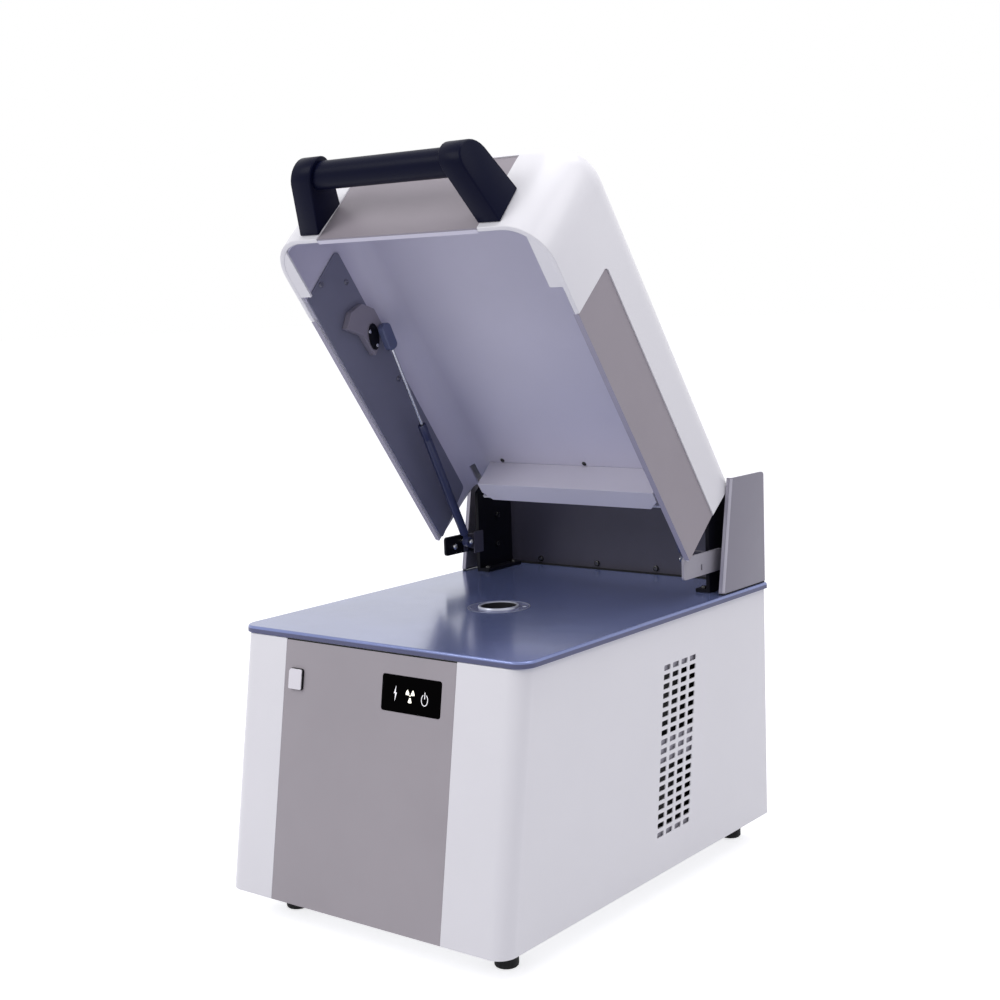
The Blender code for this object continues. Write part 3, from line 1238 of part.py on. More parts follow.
def make_struts(paints):
    """Each strut stands on its lower stud, with local +Z along it towards the lid."""
    reach = strut_reach(-LID_OPEN)
    turn = math.atan2(-reach.x, reach.y)
    length = reach.length
    for name, side in SIDES:
        frame = frame_at("strut_axis_" + name, (side * STRUT_X, STUD_Y, STUD_Z), turn)
        profile = [(STRUT_NECK_RADIUS, STRUT_PIN_RADIUS + GAP + JOIN), (STRUT_NECK_RADIUS, CYLINDER_START),
                   (CYLINDER_RADIUS, CYLINDER_START), (CYLINDER_RADIUS, CYLINDER_END)]
        bore = peg(ROD_BORE, "z", (0, 0), BORE_START, CYLINDER_END + OVERRUN)
        eye = peg(STRUT_EYE_RADIUS, "x", (0, 0), *around(0, STRUT_EYE_HALF), CYLINDER_SIDES)
        eye_bore = peg(STRUT_PIN_RADIUS + RUNNING_GAP, "x", (0, 0), *around(0, STRUT_EYE_HALF + OVERRUN))
        cylinder = node("strut_cylinder_" + name, paints["fitting_navy"], turned(profile, "z", sides=CYLINDER_SIDES),
                        added=[eye], removed=[bore], parent=frame)
        combine(cylinder, [eye_bore], "DIFFERENCE")
        cylinder.data.shade_smooth()
        cylinder.data.set_sharp_from_angle(angle=SMOOTH_ANGLE)
        corners = rectangle(*around(0, ROD_END_WIDTH / 2), *around(length, ROD_END_LENGTH / 2))
        end = prism(rounded(corners, ROD_END_CORNER, EDGE_STEPS), "x", -ROD_END_INWARD, ROD_END_OUTWARD)
        rod = peg(ROD_RADIUS, "z", (0, 0), ROD_START, length - ROD_END_LENGTH / 2 + JOIN)
        node("strut_rod_" + name, paints["fitting_navy"], rod, added=[on_side(end, side)], parent=frame)


def make_strut_blocks(paints, lid):
    face = inner_plate_face() - GAP
    block = lid_prism(rounded(BLOCK_OUTLINE, BLOCK_CORNER, 2), BLOCK_INNER, face)
    turn = Matrix.Rotation(KEEPER_TURN, 2)
    oval = [turn @ Vector((KEEPER_HALF_LENGTH * x, KEEPER_HALF_WIDTH * y)) for x, y in circle(1, sides=KEEPER_SIDES)]
    outline = [(KEEPER_ALONG + p.x, KEEPER_RISE + p.y) for p in oval]
    keeper = lid_prism(outline, BLOCK_INNER - GAP - KEEPER_THICKNESS, BLOCK_INNER - GAP)
    for name, side in SIDES:
        node("strut_block_" + name, paints["flange_grey"], on_side(block, side), parent=lid)
        node("strut_keeper_" + name, paints["hinge_black"], on_side(keeper, side), parent=lid)


# Inside of the base

def make_measuring_head(paints):
    top = DECK_BOTTOM - GAP
    low = top - HEAD_HEIGHT
    centre = (0, STAGE_Y)
    block = box(around(0, HEAD_HALF_WIDTH), around(STAGE_Y, HEAD_HALF_DEPTH), (low, top))
    bore = peg(HEAD_BORE, "z", centre, low - OVERRUN, top + OVERRUN, ROUND_SIDES)
    channel = box(around(0, HEAD_HALF_WIDTH + OVERRUN), around(STAGE_Y, SHUTTER_HALF_DEPTH + RUNNING_GAP),
                  (top - SHUTTER_THICKNESS - 2 * RUNNING_GAP, top + OVERRUN))
    head = node("optics_block", paints["head_aluminium"], block, removed=[channel])
    combine(head, [bore], "DIFFERENCE")
    slide = frame_at("shutter_travel", (0, STAGE_Y, top - SHUTTER_THICKNESS - RUNNING_GAP))
    plate = box((-SHUTTER_SHORT, SHUTTER_LONG), around(0, SHUTTER_HALF_DEPTH), (0, SHUTTER_THICKNESS))
    hole = peg(SHUTTER_HOLE, "z", (SHUTTER_TRAVEL, 0), -OVERRUN, SHUTTER_THICKNESS + OVERRUN, ROUND_SIDES)
    node("shutter_slide", paints["ring_bright"], plate, removed=[hole], parent=slide)
    tube_low = PAN_TOP + GAP + GENERATOR_HEIGHT + GAP
    collar = low - GAP - TUBE_COLLAR_HEIGHT
    tube = turned([(TUBE_RADIUS, tube_low), (TUBE_RADIUS, collar), (TUBE_COLLAR_RADIUS, collar),
                   (TUBE_COLLAR_RADIUS, low - GAP)], "z", centre)
    node("xray_tube", paints["tube_nickel"], tube)
    side = HEAD_HALF_WIDTH + GAP
    detector = turned([(DETECTOR_RADIUS, side), (DETECTOR_RADIUS, side + DETECTOR_LENGTH)], "x",
                      (STAGE_Y, top - DETECTOR_DROP))
    node("detector", paints["head_aluminium"], on_side(detector, -1))


def make_electronics(paints):
    floor = PAN_TOP + GAP
    generator = box(around(0, GENERATOR_HALF_WIDTH), around(STAGE_Y, GENERATOR_HALF_DEPTH),
                    (floor, floor + GENERATOR_HEIGHT))
    node("hv_generator", paints["head_aluminium"], generator, edge=GENERATOR_EDGE)
    supply = box(around(SUPPLY_X, SUPPLY_WIDTH / 2), around(SUPPLY_Y, SUPPLY_DEPTH / 2),
                 (floor, floor + SUPPLY_HEIGHT))
    node("power_supply", paints["pan_zinc"], supply)
    board = box((BOARD_X, BOARD_X + BOARD_THICKNESS), (BOARD_FRONT_Y, BOARD_REAR_Y), (floor, floor + BOARD_HEIGHT))
    chips = []
    for along_share, rise_share in CHIP_PLACE_SHARES:
        y = BOARD_FRONT_Y + (BOARD_REAR_Y - BOARD_FRONT_Y) * along_share
        z = floor + BOARD_HEIGHT * rise_share
        face = BOARD_X + BOARD_THICKNESS
        chips.append(box((face - JOIN, face + CHIP_HEIGHT), around(y, CHIP_SIZE / 2), around(z, CHIP_SIZE / 2)))
    node("main_board", paints["board_green"], board, added=chips)


def build():
    paints = make_materials()
    front = frame_at("front_face", (0, FRONT_BOTTOM, FOOT_HEIGHT), -FRONT_LEAN)
    make_housing_shell(paints, front)
    make_base_pan(paints)
    make_feet(paints)
    make_front(paints, front)
    make_button(paints, front)
    make_deck(paints)
    make_stage(paints)
    make_rear_panel(paints)
    make_inlet(paints)
    make_switch(paints)
    make_fan(paints)
    make_riser(paints)
    make_back_plate(paints)
    make_hinge_plates(paints)
    make_hinge_pins(paints)
    make_strut_brackets(paints)
    make_measuring_head(paints)
    make_electronics(paints)
    lid = frame_at("lid_axis", (0, PIVOT_Y, PIVOT_Z), -LID_OPEN)
    make_lid_shell(paints, lid)
    make_inlays(paints, lid)
    make_liner(paints, lid)
    make_inner_plates(paints, lid)
    make_rear_flange(paints, lid)
    make_hinge_arms(paints, lid)
    make_handle(paints, lid)
    make_strut_blocks(paints, lid)
    make_struts(paints)


for thing in list(bpy.data.objects):
    bpy.data.objects.remove(thing)
build()
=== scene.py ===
"""Looks of the benchtop x-ray fluorescence analyzer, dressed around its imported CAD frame."""
import json
import math

import bmesh
import bpy
from mathutils import Matrix, Vector


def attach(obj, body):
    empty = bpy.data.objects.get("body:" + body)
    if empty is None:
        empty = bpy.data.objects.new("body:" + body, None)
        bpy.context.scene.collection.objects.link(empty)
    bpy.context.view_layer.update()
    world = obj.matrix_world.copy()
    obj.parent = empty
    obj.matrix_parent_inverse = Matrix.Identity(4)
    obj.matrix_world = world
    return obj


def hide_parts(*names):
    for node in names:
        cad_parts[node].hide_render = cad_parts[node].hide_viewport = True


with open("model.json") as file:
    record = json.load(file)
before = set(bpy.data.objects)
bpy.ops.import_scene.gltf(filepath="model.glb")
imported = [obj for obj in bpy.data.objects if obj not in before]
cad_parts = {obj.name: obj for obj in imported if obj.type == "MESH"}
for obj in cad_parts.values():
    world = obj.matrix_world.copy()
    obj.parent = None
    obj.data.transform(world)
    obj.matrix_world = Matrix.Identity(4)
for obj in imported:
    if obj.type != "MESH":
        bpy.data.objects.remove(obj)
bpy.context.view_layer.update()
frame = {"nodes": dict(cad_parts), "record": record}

# Sizes shared with the solids
GAP = 0.0003
RUNNING_GAP = 0.0005
JOIN = 0.0005
OVERRUN = 0.006
FRONT_LEAN = math.radians(9.05)
FOOT_HEIGHT = 0.034
SHELL_HEIGHT = 0.2846
SHELL_TOP = FOOT_HEIGHT + SHELL_HEIGHT
SHELL_HALF = 0.196
SHELL_WALL = 0.0045
REAR = 0.273
FRONT_CORNER = 0.020
REAR_CORNER = 0.006
DECK_TOP = 0.3266
DECK_HALF = 0.200
STAGE_Y = -0.0092
LID_OPEN = math.radians(53.92)
LID_HALF = 0.1895
LID_LENGTH = 0.4684
LID_HEIGHT = 0.136
LID_FRONT_LEAN = math.radians(9)
LID_TOP_ROUND = 0.030
LID_CORNER = 0.048
LINER_REAR = 0.0122
PIVOT = Vector((0, 0.2048, 0.4506))
PIVOT_ALONG = 0.0055
PIVOT_RISE = 0.123
STRUT_X = 0.1635
STRUT_FOOT = Vector((0, 0.1399, 0.3715))
STRUT_LENGTH = 0.30287
STRUT_LEAN = math.asin(0.456554)
SIDES = (("right", 1), ("left", -1))
CORNER_STEPS = 14
SHARP_ANGLE = math.radians(32)
FINE_EDGE = 0.0003
PLATE_EDGE = 0.0004
FIRM_EDGE = 0.0005

# Base, with places on the leaning front as (across, up the face)
SHELL_EDGE = 0.0012
FACE_HEIGHT = SHELL_HEIGHT / math.cos(FRONT_LEAN)
FASCIA_X = -0.0062
FASCIA_HALF = 0.1202
FASCIA_FOOT = 0.0005
FASCIA_THICKNESS = 0.0025
FASCIA_POCKET_HALF = 0.1205
FASCIA_POCKET_DEPTH = 0.0028
# The fascia stops short of the deck under a dark strip: painted shadow of the deck's front edge
SHADOW_STRIP_HEIGHT = 0.0012
SHADOW_STRIP_SUNK = 0.0004
SHADOW_STRIP_GAP = 0.0001
WINDOW_PLACE = (0.0563, 0.2468)
WINDOW_HALF = (0.040, 0.019)
WINDOW_CORNER = 0.003
WINDOW_LEDGE = 0.004
BUTTON_PLACE = (-0.1077, 0.2453)
BUTTON_HALF = (0.0094, 0.0111)
BUTTON_CORNER = 0.0026
BUTTON_INSET = 0.0004
BUTTON_BODY = (-0.0028, 0.0085)
BUTTON_CAP = (-0.0040, -0.0026)
BUTTON_CAP_CORNERS = (0.0016, 0.0016, 0.0016, 0.0042)
SIGN_FACE = (-0.00036, -0.00028)
VENT_LEAN = math.tan(math.radians(6.95))
VENT_COLUMNS = 4
VENT_ROWS = 19
VENT_COLUMN_PITCH = 0.0185
VENT_ROW_PITCH = 0.01035
VENT_START = (0.0413, 0.2327)
VENT_SLOT_HALF = (0.0067, 0.0031)
VENT_SLOT_CORNER = 0.0012
VENT_FIELD_ALONG = (-0.004, 0.112)
VENT_FIELD_RISE = (0.066, 0.284)
VENT_FIELD_MIDDLE = 0.17
VENT_WALL = 0.0012
# A black sheet just inside each side wall behind the slots: painted shade inside the housing
VENT_SHADE_SHEET = ((0.1775, 0.1787), (0.004, 0.128), (0.052, 0.286))
RAIL_X = (0.1905, 0.1925)
RAIL_ALONG = (0.006, 0.124)
RAIL_RISES = ((0.2620, 0.2720), (0.1585, 0.1885), (0.0750, 0.0860))
REAR_OPENING_HALF = 0.150
REAR_OPENING_RISE = (0.070, 0.284)

# Deck and stage, with profiles as (radius, height above the deck)
DECK_BOTTOM = 0.3189
DECK_EDGE = 0.0025
# A band in a darker copy of the deck's blue over the lower part of its edge: painted shade
EDGE_SHADE_RISE = (0.3193, 0.3238)
EDGE_SHADE_PROUD = 0.0001
SEAL_HALF = 0.192
SEAL_ALONG = (0.2530, 0.2690)
SEAL_LIP = 0.0002
RECESS_RADIUS = 0.0368
RECESS_DEPTH = 0.003
RING_HOLE = 0.0255
STAGE_THICKNESS = 0.0027
STAGE_DISC = ((0.0365, -0.0027), (0.0365, -0.0003), (0.0362, 0), (0.0330, 0), (0.0328, -0.0002), (0.0325, 0),
              (0.02485, 0), (0.02455, -0.0003), (0.02455, -0.0027))
STAGE_RIM = ((0.0364, -0.0027), (0.0364, 0.0002), (0.0356, 0.0002), (0.0356, -0.0027))
APERTURE_COLLAR = ((0.02425, -0.0077), (0.02425, 0.0002), (0.0240, 0.0017), (0.0236, 0.0022),
                   (0.0230, 0.0024), (0.0218, 0.0024), (0.0212, 0.0020), (0.0210, 0.0014),
                   (0.0210, -0.0065), (0.0175, -0.0065), (0.0175, -0.0077))
# A black sleeve over the collar's bore: painted shade down the aperture
APERTURE_SHADE_SLEEVE = ((0.02085, -0.0063), (0.02085, 0.0014), (0.0202, 0.0008), (0.0202, -0.0063))
LAMP_PLACE = (0.0256, STAGE_Y + 0.0156)
LAMP_HOLE = 0.0028
LAMP_LENS = ((0.0025, -0.0027), (0.0025, 0), (0.0022, 0.0002), (0.0012, 0.0003))

# Riser, hinges and struts, with screws as (radius, height) and round forms as such pairs
RISER_PLATE_HALF = 0.1813
RISER_PLATE_FACE = 0.2708 - 0.005 - GAP - 0.0023
RISER_SCREW = (0.0036, 0.0030)
RISER_SCREW_SHARES = (-0.75, -0.25, 0.25, 0.75)
RISER_SCREW_RISE = 0.006
RISER_SCREW_SUNK = 0.0002
CHEEK_FRONT = 0.1667
CHEEK_LEAN = math.tan(math.radians(9.9))
CHEEK_RISE = (0.0030, 0.1350)
# Thin strips over each cheek's front lip and its bend, in lighter copies of the riser's grey: painted light
# on the lip and a painted highlight along the bend
LIP_SECTION = (0.1908, 0.1944, -0.00025, 0.0001)
BEND_CENTRE = (0.1945, 0.0030)
BEND_RADII = (0.0033, 0.0029)
BEND_TURN = (math.radians(-80), math.radians(-15))
HINGE_SCREW = (0.0039, 0.0027)
HINGE_FACE = 0.1705
HINGE_FACE_SCREWS = ((0.2133, 0.0705), (0.2118, 0.0315))
HINGE_FOOT_X = 0.16325
HINGE_FOOT_TOP = 0.004
HINGE_FOOT_SCREWS = (0.181, 0.236)
BRACKET_ALONG = (0.110, 0.200)
BRACKET_RISE = {"right": (0.3520, 0.3780), "left": (0.3556, 0.3796)}
BRACKET_X = (0.1753, 0.1785)
BRACKET_CORNER = 0.004
BRACKET_SLOT = (0.150, 0.3617)
BRACKET_SLOT_HALF = (0.0016, 0.0036)
BRACKET_SLOT_X = (0.170, 0.180)
STUD_RADIUS = 0.0027
STUD_X = (0.1571, 0.1756)
STUD_SCREW = (0.0033, 0.0018)
STUD_SCREW_X = 0.1572
BOLT_PLACE = (0.126, 0.366)
BOLT_RADIUS = 0.0036
BOLT_X = (0.1729, 0.1756)
BOLT_SCREW = (0.0038, 0.0022)
BOLT_SCREW_X = 0.1730
GUARD_BACK_X = (0.1742, 0.1753)
GUARD_BACK_HALF = (0.0042, 0.0050)
GUARD_LEAF = ((0.1560, 0.1573), (0.1450, 0.1640), (0.3560, 0.3840))
GUARD_SPACER = ((0.1572, 0.1753), (0.1560, 0.1640), (0.3600, 0.3790))
BLOCK_OUTLINE = [(0.3315, 0.0670), (0.3144, 0.0796), (0.2948, 0.0797), (0.2743, 0.0606), (0.2695, 0.0458),
                 (0.3011, 0.0444), (0.3245, 0.0272), (0.3351, 0.0454)]
BLOCK_CORNER = 0.0012
BLOCK_EDGE = 0.0008
BLOCK_X = (0.1705, 0.1796)
KEEPER_PLACE = (0.2897, 0.0572)
KEEPER_HALF = (0.0160, 0.0085)
KEEPER_TURN = math.radians(27)
KEEPER_X = (0.1686, 0.1702)
KEEPER_SCREWS = ((0.2989, 0.0550), (0.2783, 0.0551))
KEEPER_SCREW = (0.0023, 0.0006)
KEEPER_SCREW_X = 0.1687
STRUT_TUBE = ((0.0034, 0.0035), (0.0034, 0.0115), (0.0046, 0.0120), (0.0055, 0.0130), (0.0055, 0.1555),
              (0.0053, 0.1560), (0.0053, 0.1572), (0.0055, 0.1577), (0.0055, 0.1768), (0.0050, 0.1780),
              (0.0036, 0.1780), (0.0034, 0.1772), (0.0025, 0.1770), (0.0025, 0.0180))
STRUT_EYE = ((0.0058, -0.0040), (0.0065, -0.0034), (0.0065, 0.0034), (0.0058, 0.0040))
STRUT_EYE_HOLE = ((0.0032, -0.008), (0.0032, 0.008))
STRUT_ROD = ((0.0020, 0.112), (0.0020, STRUT_LENGTH - 0.017))
ROD_END_HALF = (0.0080, 0.0170)
ROD_END_X = (-0.0050, 0.0045)
ROD_END_CORNER = 0.006
ROD_END_EDGE = 0.0018

# Lid, with x across, a distance along from the hinge and a rise from the rim; the rear edge bends at a knee
KNEE = 0.0694
REAR_BELOW_KNEE = (0.0026, 0.0055)
REAR_ABOVE_KNEE = (0.0081, 0.0008, 0.0455)
REAR_ROUND = 0.008
REAR_SIDE_CORNER = 0.002
ROUND_STEPS = 18
RIM_ROUND = 0.0009
LID_WALL = 0.006
LID_TOP_WALL = 0.003
LID_REAR_WALL = 0.003
LID_FRONT_WALL = 0.005
CAVITY_ROUND = 0.0195
CAVITY_CORNER = 0.0435
REAR_CUT = (0.0119 + OVERRUN, 0.078)
ARM_CUTS = ((0.1753, 0.0071), (0.1750 + GAP + 0.0012 + RUNNING_GAP, 0.0050))
ARM_CUT_START = 0.155
INLAY_DEPTH = 0.0012 + 0.0015 + GAP
SIDE_INLAY_TOP = 0.0704
SIDE_INLAY_FRONT = (0.357, 0.3655)
SIDE_INLAY_CORNER = 0.006
FRONT_INLAY = (0.1115, 0.106)
GUSSET_INSET = 0.0025
GUSSET_CORNER = (0.1675, 0.3915)
GUSSET_RISE = (0.0004, 0.003)
LINER_ROOF = 0.112
LINER_WALL = 0.0015
LINER_RIM = 0.0035
LINER_ROUNDS = (0.033, 0.0315)
LINER_SLOT = ((0.1698, 0.1757), (LINER_REAR - OVERRUN, 0.0422))
FLANGE_SCREWS = (-0.1275, 0, 0.1275)
FLANGE_SCREW_ALONG = 0.0438
SMALL_SCREW = (0.0030, 0.0017)
PLATE_THICKNESS = 0.0015
PLATE_SCREWS = ((0.385, 0.033), (0.362, 0.069), (0.215, 0.069))
PLATE_SCREW = (0.0037, 0.0018)
# Thin strips over the lid's rim, darker than the white shell: painted shade on the rim's downward faces; the
# front one carries the liner's grey
RIM_SHADE_RISE = (-0.00015, 0.0001)
SIDE_RIM_SHADE = ((0.1816, 0.1884), (0.004, 0.357))
FRONT_RIM_SHADE_HALF = 0.1112
FRONT_RIM_SHADES = (("front_rim", "liner", (-0.0066, -0.0020)), ("front_rim_edge", "block", (-0.0020, -0.0003)))
HANDLE_CENTRE = (0.5273, 0.0325)
HANDLE_RADIUS = 0.0154
HANDLE_TOE = math.tan(math.radians(17.5))
HANDLE_REACH = 0.111 - GAP
HANDLE_EDGE = 0.0022

# Rear panel: softened edges of its parts, then places (x, z) of its screws
REAR_PARTS = (("rear_panel", 0.0002), ("power_inlet", FINE_EDGE), ("switch_bezel", PLATE_EDGE),
              ("rocker_switch", FIRM_EDGE), ("fan_frame", FINE_EDGE), ("fan_rotor", FINE_EDGE),
              ("base_pan", FINE_EDGE))
PANEL_SCREWS = [(x, z) for x in (-0.154, 0, 0.154) for z in (0.065, 0.289)]
FAN_SCREWS = ((-0.121, 0.164), (-0.049, 0.164), (-0.121, 0.236), (-0.049, 0.236))
FAN_SCREW = (0.0028, 0.0015)

FACE = Matrix.Translation((0, -REAR, FOOT_HEIGHT)) @ Matrix.Rotation(-FRONT_LEAN, 4, "X")
LID = Matrix.Translation(PIVOT) @ Matrix.Rotation(-LID_OPEN, 4, "X")


# Shapes: points with the loops of points that make the faces

def merged(shapes):
    points, loops = [], []
    for more_points, more_loops in shapes:
        start = len(points)
        points += more_points
        loops += [tuple(start + i for i in loop) for loop in more_loops]
    return points, loops


def moved(shape, matrix):
    points, loops = shape
    return [matrix @ Vector(point) for point in points], loops


def on_side(shape, side):
    return moved(shape, Matrix.Diagonal((side, 1, 1, 1)))


def mirrored(shape):
    return [on_side(shape, side) for _, side in SIDES]


def band(first, second, count):
    return [(first + i, first + (i + 1) % count, second + (i + 1) % count, second + i) for i in range(count)]


def stack(rings):
    count = len(rings[0])
    last = (len(rings) - 1) * count
    loops = [tuple(range(count)), tuple(range(last, last + count))]
    for level in range(len(rings) - 1):
        loops += band(level * count, (level + 1) * count, count)
    return [point for ring in rings for point in ring], loops


def hoop(rings):
    count = len(rings[0])
    loops = []
    for level in range(len(rings)):
        loops += band(level * count, (level + 1) % len(rings) * count, count)
    return [point for ring in rings for point in ring], loops


def placed(point, axis, level):
    values = list(point)
    values.insert("xyz".index(axis), level)
    return Vector(values)


def prism(outline, axis, low, high):
    return stack([[placed(point, axis, level) for point in outline] for level in (low, high)])


def rectangle(low_a, high_a, low_b, high_b):
    return [(low_a, low_b), (high_a, low_b), (high_a, high_b), (low_a, high_b)]


def box(x, y, z):
    return prism(rectangle(*x, *y), "z", *z)


def around(middle, half):
    return middle - half, middle + half


def rounded(points, radii, steps=CORNER_STEPS):
    outline = []
    for i, corner in enumerate(points):
        radius = radii[i] if isinstance(radii, tuple) else radii
        here = Vector(corner)
        back = (Vector(points[i - 1]) - here).normalized()
        ahead = (Vector(points[(i + 1) % len(points)]) - here).normalized()
        half = back.angle(ahead) / 2
        centre = here + (back + ahead).normalized() * (radius / math.sin(half))
        arm = here + back * (radius / math.tan(half)) - centre
        turn = math.copysign(math.pi - 2 * half, back.x * ahead.y - back.y * ahead.x)
        for step in range(steps + 1):
            outline.append(centre + Matrix.Rotation(-turn * step / steps, 2) @ arm)
    return outline


def circle(radius, centre, sides):
    angles = [2 * math.pi * i / sides for i in range(sides)]
    return [(centre[0] + radius * math.cos(a), centre[1] + radius * math.sin(a)) for a in angles]


def arc(centre, radius, start, end, steps):
    angles = [start + (end - start) * i / steps for i in range(steps + 1)]
    return [(centre[0] + radius * math.cos(a), centre[1] + radius * math.sin(a)) for a in angles]


def quarter(radius, steps):
    """Pairs (inset, rise) that round an edge from its face to its side."""
    turns = [math.pi / 2 * i / steps for i in range(steps + 1)]
    return [(radius * (1 - math.sin(t)), radius * (1 - math.cos(t))) for t in turns]


def aimed(centre, direction):
    """A frame at centre whose Z looks along direction."""
    return Matrix.Translation(centre) @ Vector(direction).to_track_quat("Z", "Y").to_matrix().to_4x4()


def lathe(rows, place, sides=24):
    """A solid of (radius, height, corners) rows: corners of 6 draws the row as a hexagon, 0 as a circle."""
    rings = []
    for radius, height, corners in rows:
        ring = []
        for i in range(sides):
            turn = 2 * math.pi * i / sides
            reach = radius
            if corners:
                part = 2 * math.pi / corners
                reach = radius * math.cos(part / 2) / math.cos(turn % part - part / 2)
            ring.append(place @ Vector((reach * math.cos(turn), reach * math.sin(turn), height)))
        rings.append(ring)
    return stack(rings)


def round_form(profile, place, sides=24):
    """A round solid of (radius, height) pairs."""
    return lathe([(radius, height, 0) for radius, height in profile], place, sides)


def cap_screw(centre, direction, radius, height):
    """A socket head with a rounded edge and a hexagon recess."""
    edge = radius * 0.22
    rows = [(radius, 0, 0), (radius, height - edge, 0), (radius - edge * 0.3, height - edge * 0.3, 0),
            (radius - edge, height, 0), (radius * 0.56, height, 6), (radius * 0.50, height - edge * 0.3, 6),
            (radius * 0.50, height * 0.35, 6)]
    return lathe(rows, aimed(centre, direction))


def dome_screw(centre, direction, radius, height):
    """A low button head with a hexagon recess."""
    rows = [(radius, 0, 0), (radius, height * 0.25, 0)]
    rows += [(radius * math.cos(t), height * (0.25 + 0.75 * math.sin(t)), 0) for t in (0.35, 0.7, 1.0)]
    rows += [(radius * 0.42, height, 6), (radius * 0.38, height * 0.9, 6), (radius * 0.38, height * 0.3, 6)]
    return lathe(rows, aimed(centre, direction))


# Materials

def put(node, values):
    for name, value in values.items():
        node.inputs[name].default_value = value


def noise(tree, place, scale, detail):
    texture = tree.nodes.new("ShaderNodeTexNoise")
    put(texture, {"Scale": scale, "Detail": detail})
    tree.links.new(place, texture.inputs["Vector"])
    return texture.outputs["Fac"]


def finish(name, colour, rough, metal=0.0, specular=0.5, coat=0.0, mottle=0.03, mottle_scale=9.0,
           grain=1400.0, grain_depth=0.00001, rough_spread=0.05, stretch=(1, 1, 1)):
    """A painted, moulded or metal surface: slow colour drift, grain in the relief and uneven gloss."""
    material = bpy.data.materials.new(name)
    material.use_nodes = True
    tree = material.node_tree
    link = tree.links.new
    surface = tree.nodes["Principled BSDF"]
    place = tree.nodes.new("ShaderNodeTexCoord").outputs["Object"]
    ramp = tree.nodes.new("ShaderNodeValToRGB")
    low, high = ramp.color_ramp.elements
    low.position, high.position = 0.3, 0.7
    low.color = (*[c * (1 - 2 * mottle) for c in colour], 1)
    high.color = (*[min(1, c * (1 + mottle)) for c in colour], 1)
    link(noise(tree, place, mottle_scale, 3), ramp.inputs["Fac"])
    link(ramp.outputs["Color"], surface.inputs["Base Color"])
    mapping = tree.nodes.new("ShaderNodeMapping")
    put(mapping, {"Scale": stretch})
    link(place, mapping.inputs["Vector"])
    bump = tree.nodes.new("ShaderNodeBump")
    put(bump, {"Strength": 0.6, "Distance": grain_depth})
    link(noise(tree, mapping.outputs["Vector"], grain, 2), bump.inputs["Height"])
    link(bump.outputs["Normal"], surface.inputs["Normal"])
    spread = tree.nodes.new("ShaderNodeMapRange")
    put(spread, {"To Min": max(0.02, rough - rough_spread), "To Max": rough + rough_spread})
    link(noise(tree, place, 45.0, 4), spread.inputs["Value"])
    link(spread.outputs["Result"], surface.inputs["Roughness"])
    put(surface, {"Metallic": metal, "Specular IOR Level": specular, "Coat Weight": coat,
                  "Coat Roughness": 0.12})
    return material


def coated(name, colour, rough, grain=2000, grain_depth=0.000012):
    """A sheet with an even coat of paint."""
    return finish(name, colour, rough, mottle=0.02, grain=grain, grain_depth=grain_depth)


def glowing(name, colour, strength):
    """A lit symbol with a slightly uneven light."""
    material = finish(name, colour, 0.5, grain=3000)
    surface = material.node_tree.nodes["Principled BSDF"]
    ramp = next(n for n in material.node_tree.nodes if n.type == "VALTORGB")
    material.node_tree.links.new(ramp.outputs["Color"], surface.inputs["Emission Color"])
    put(surface, {"Emission Strength": strength})
    return material


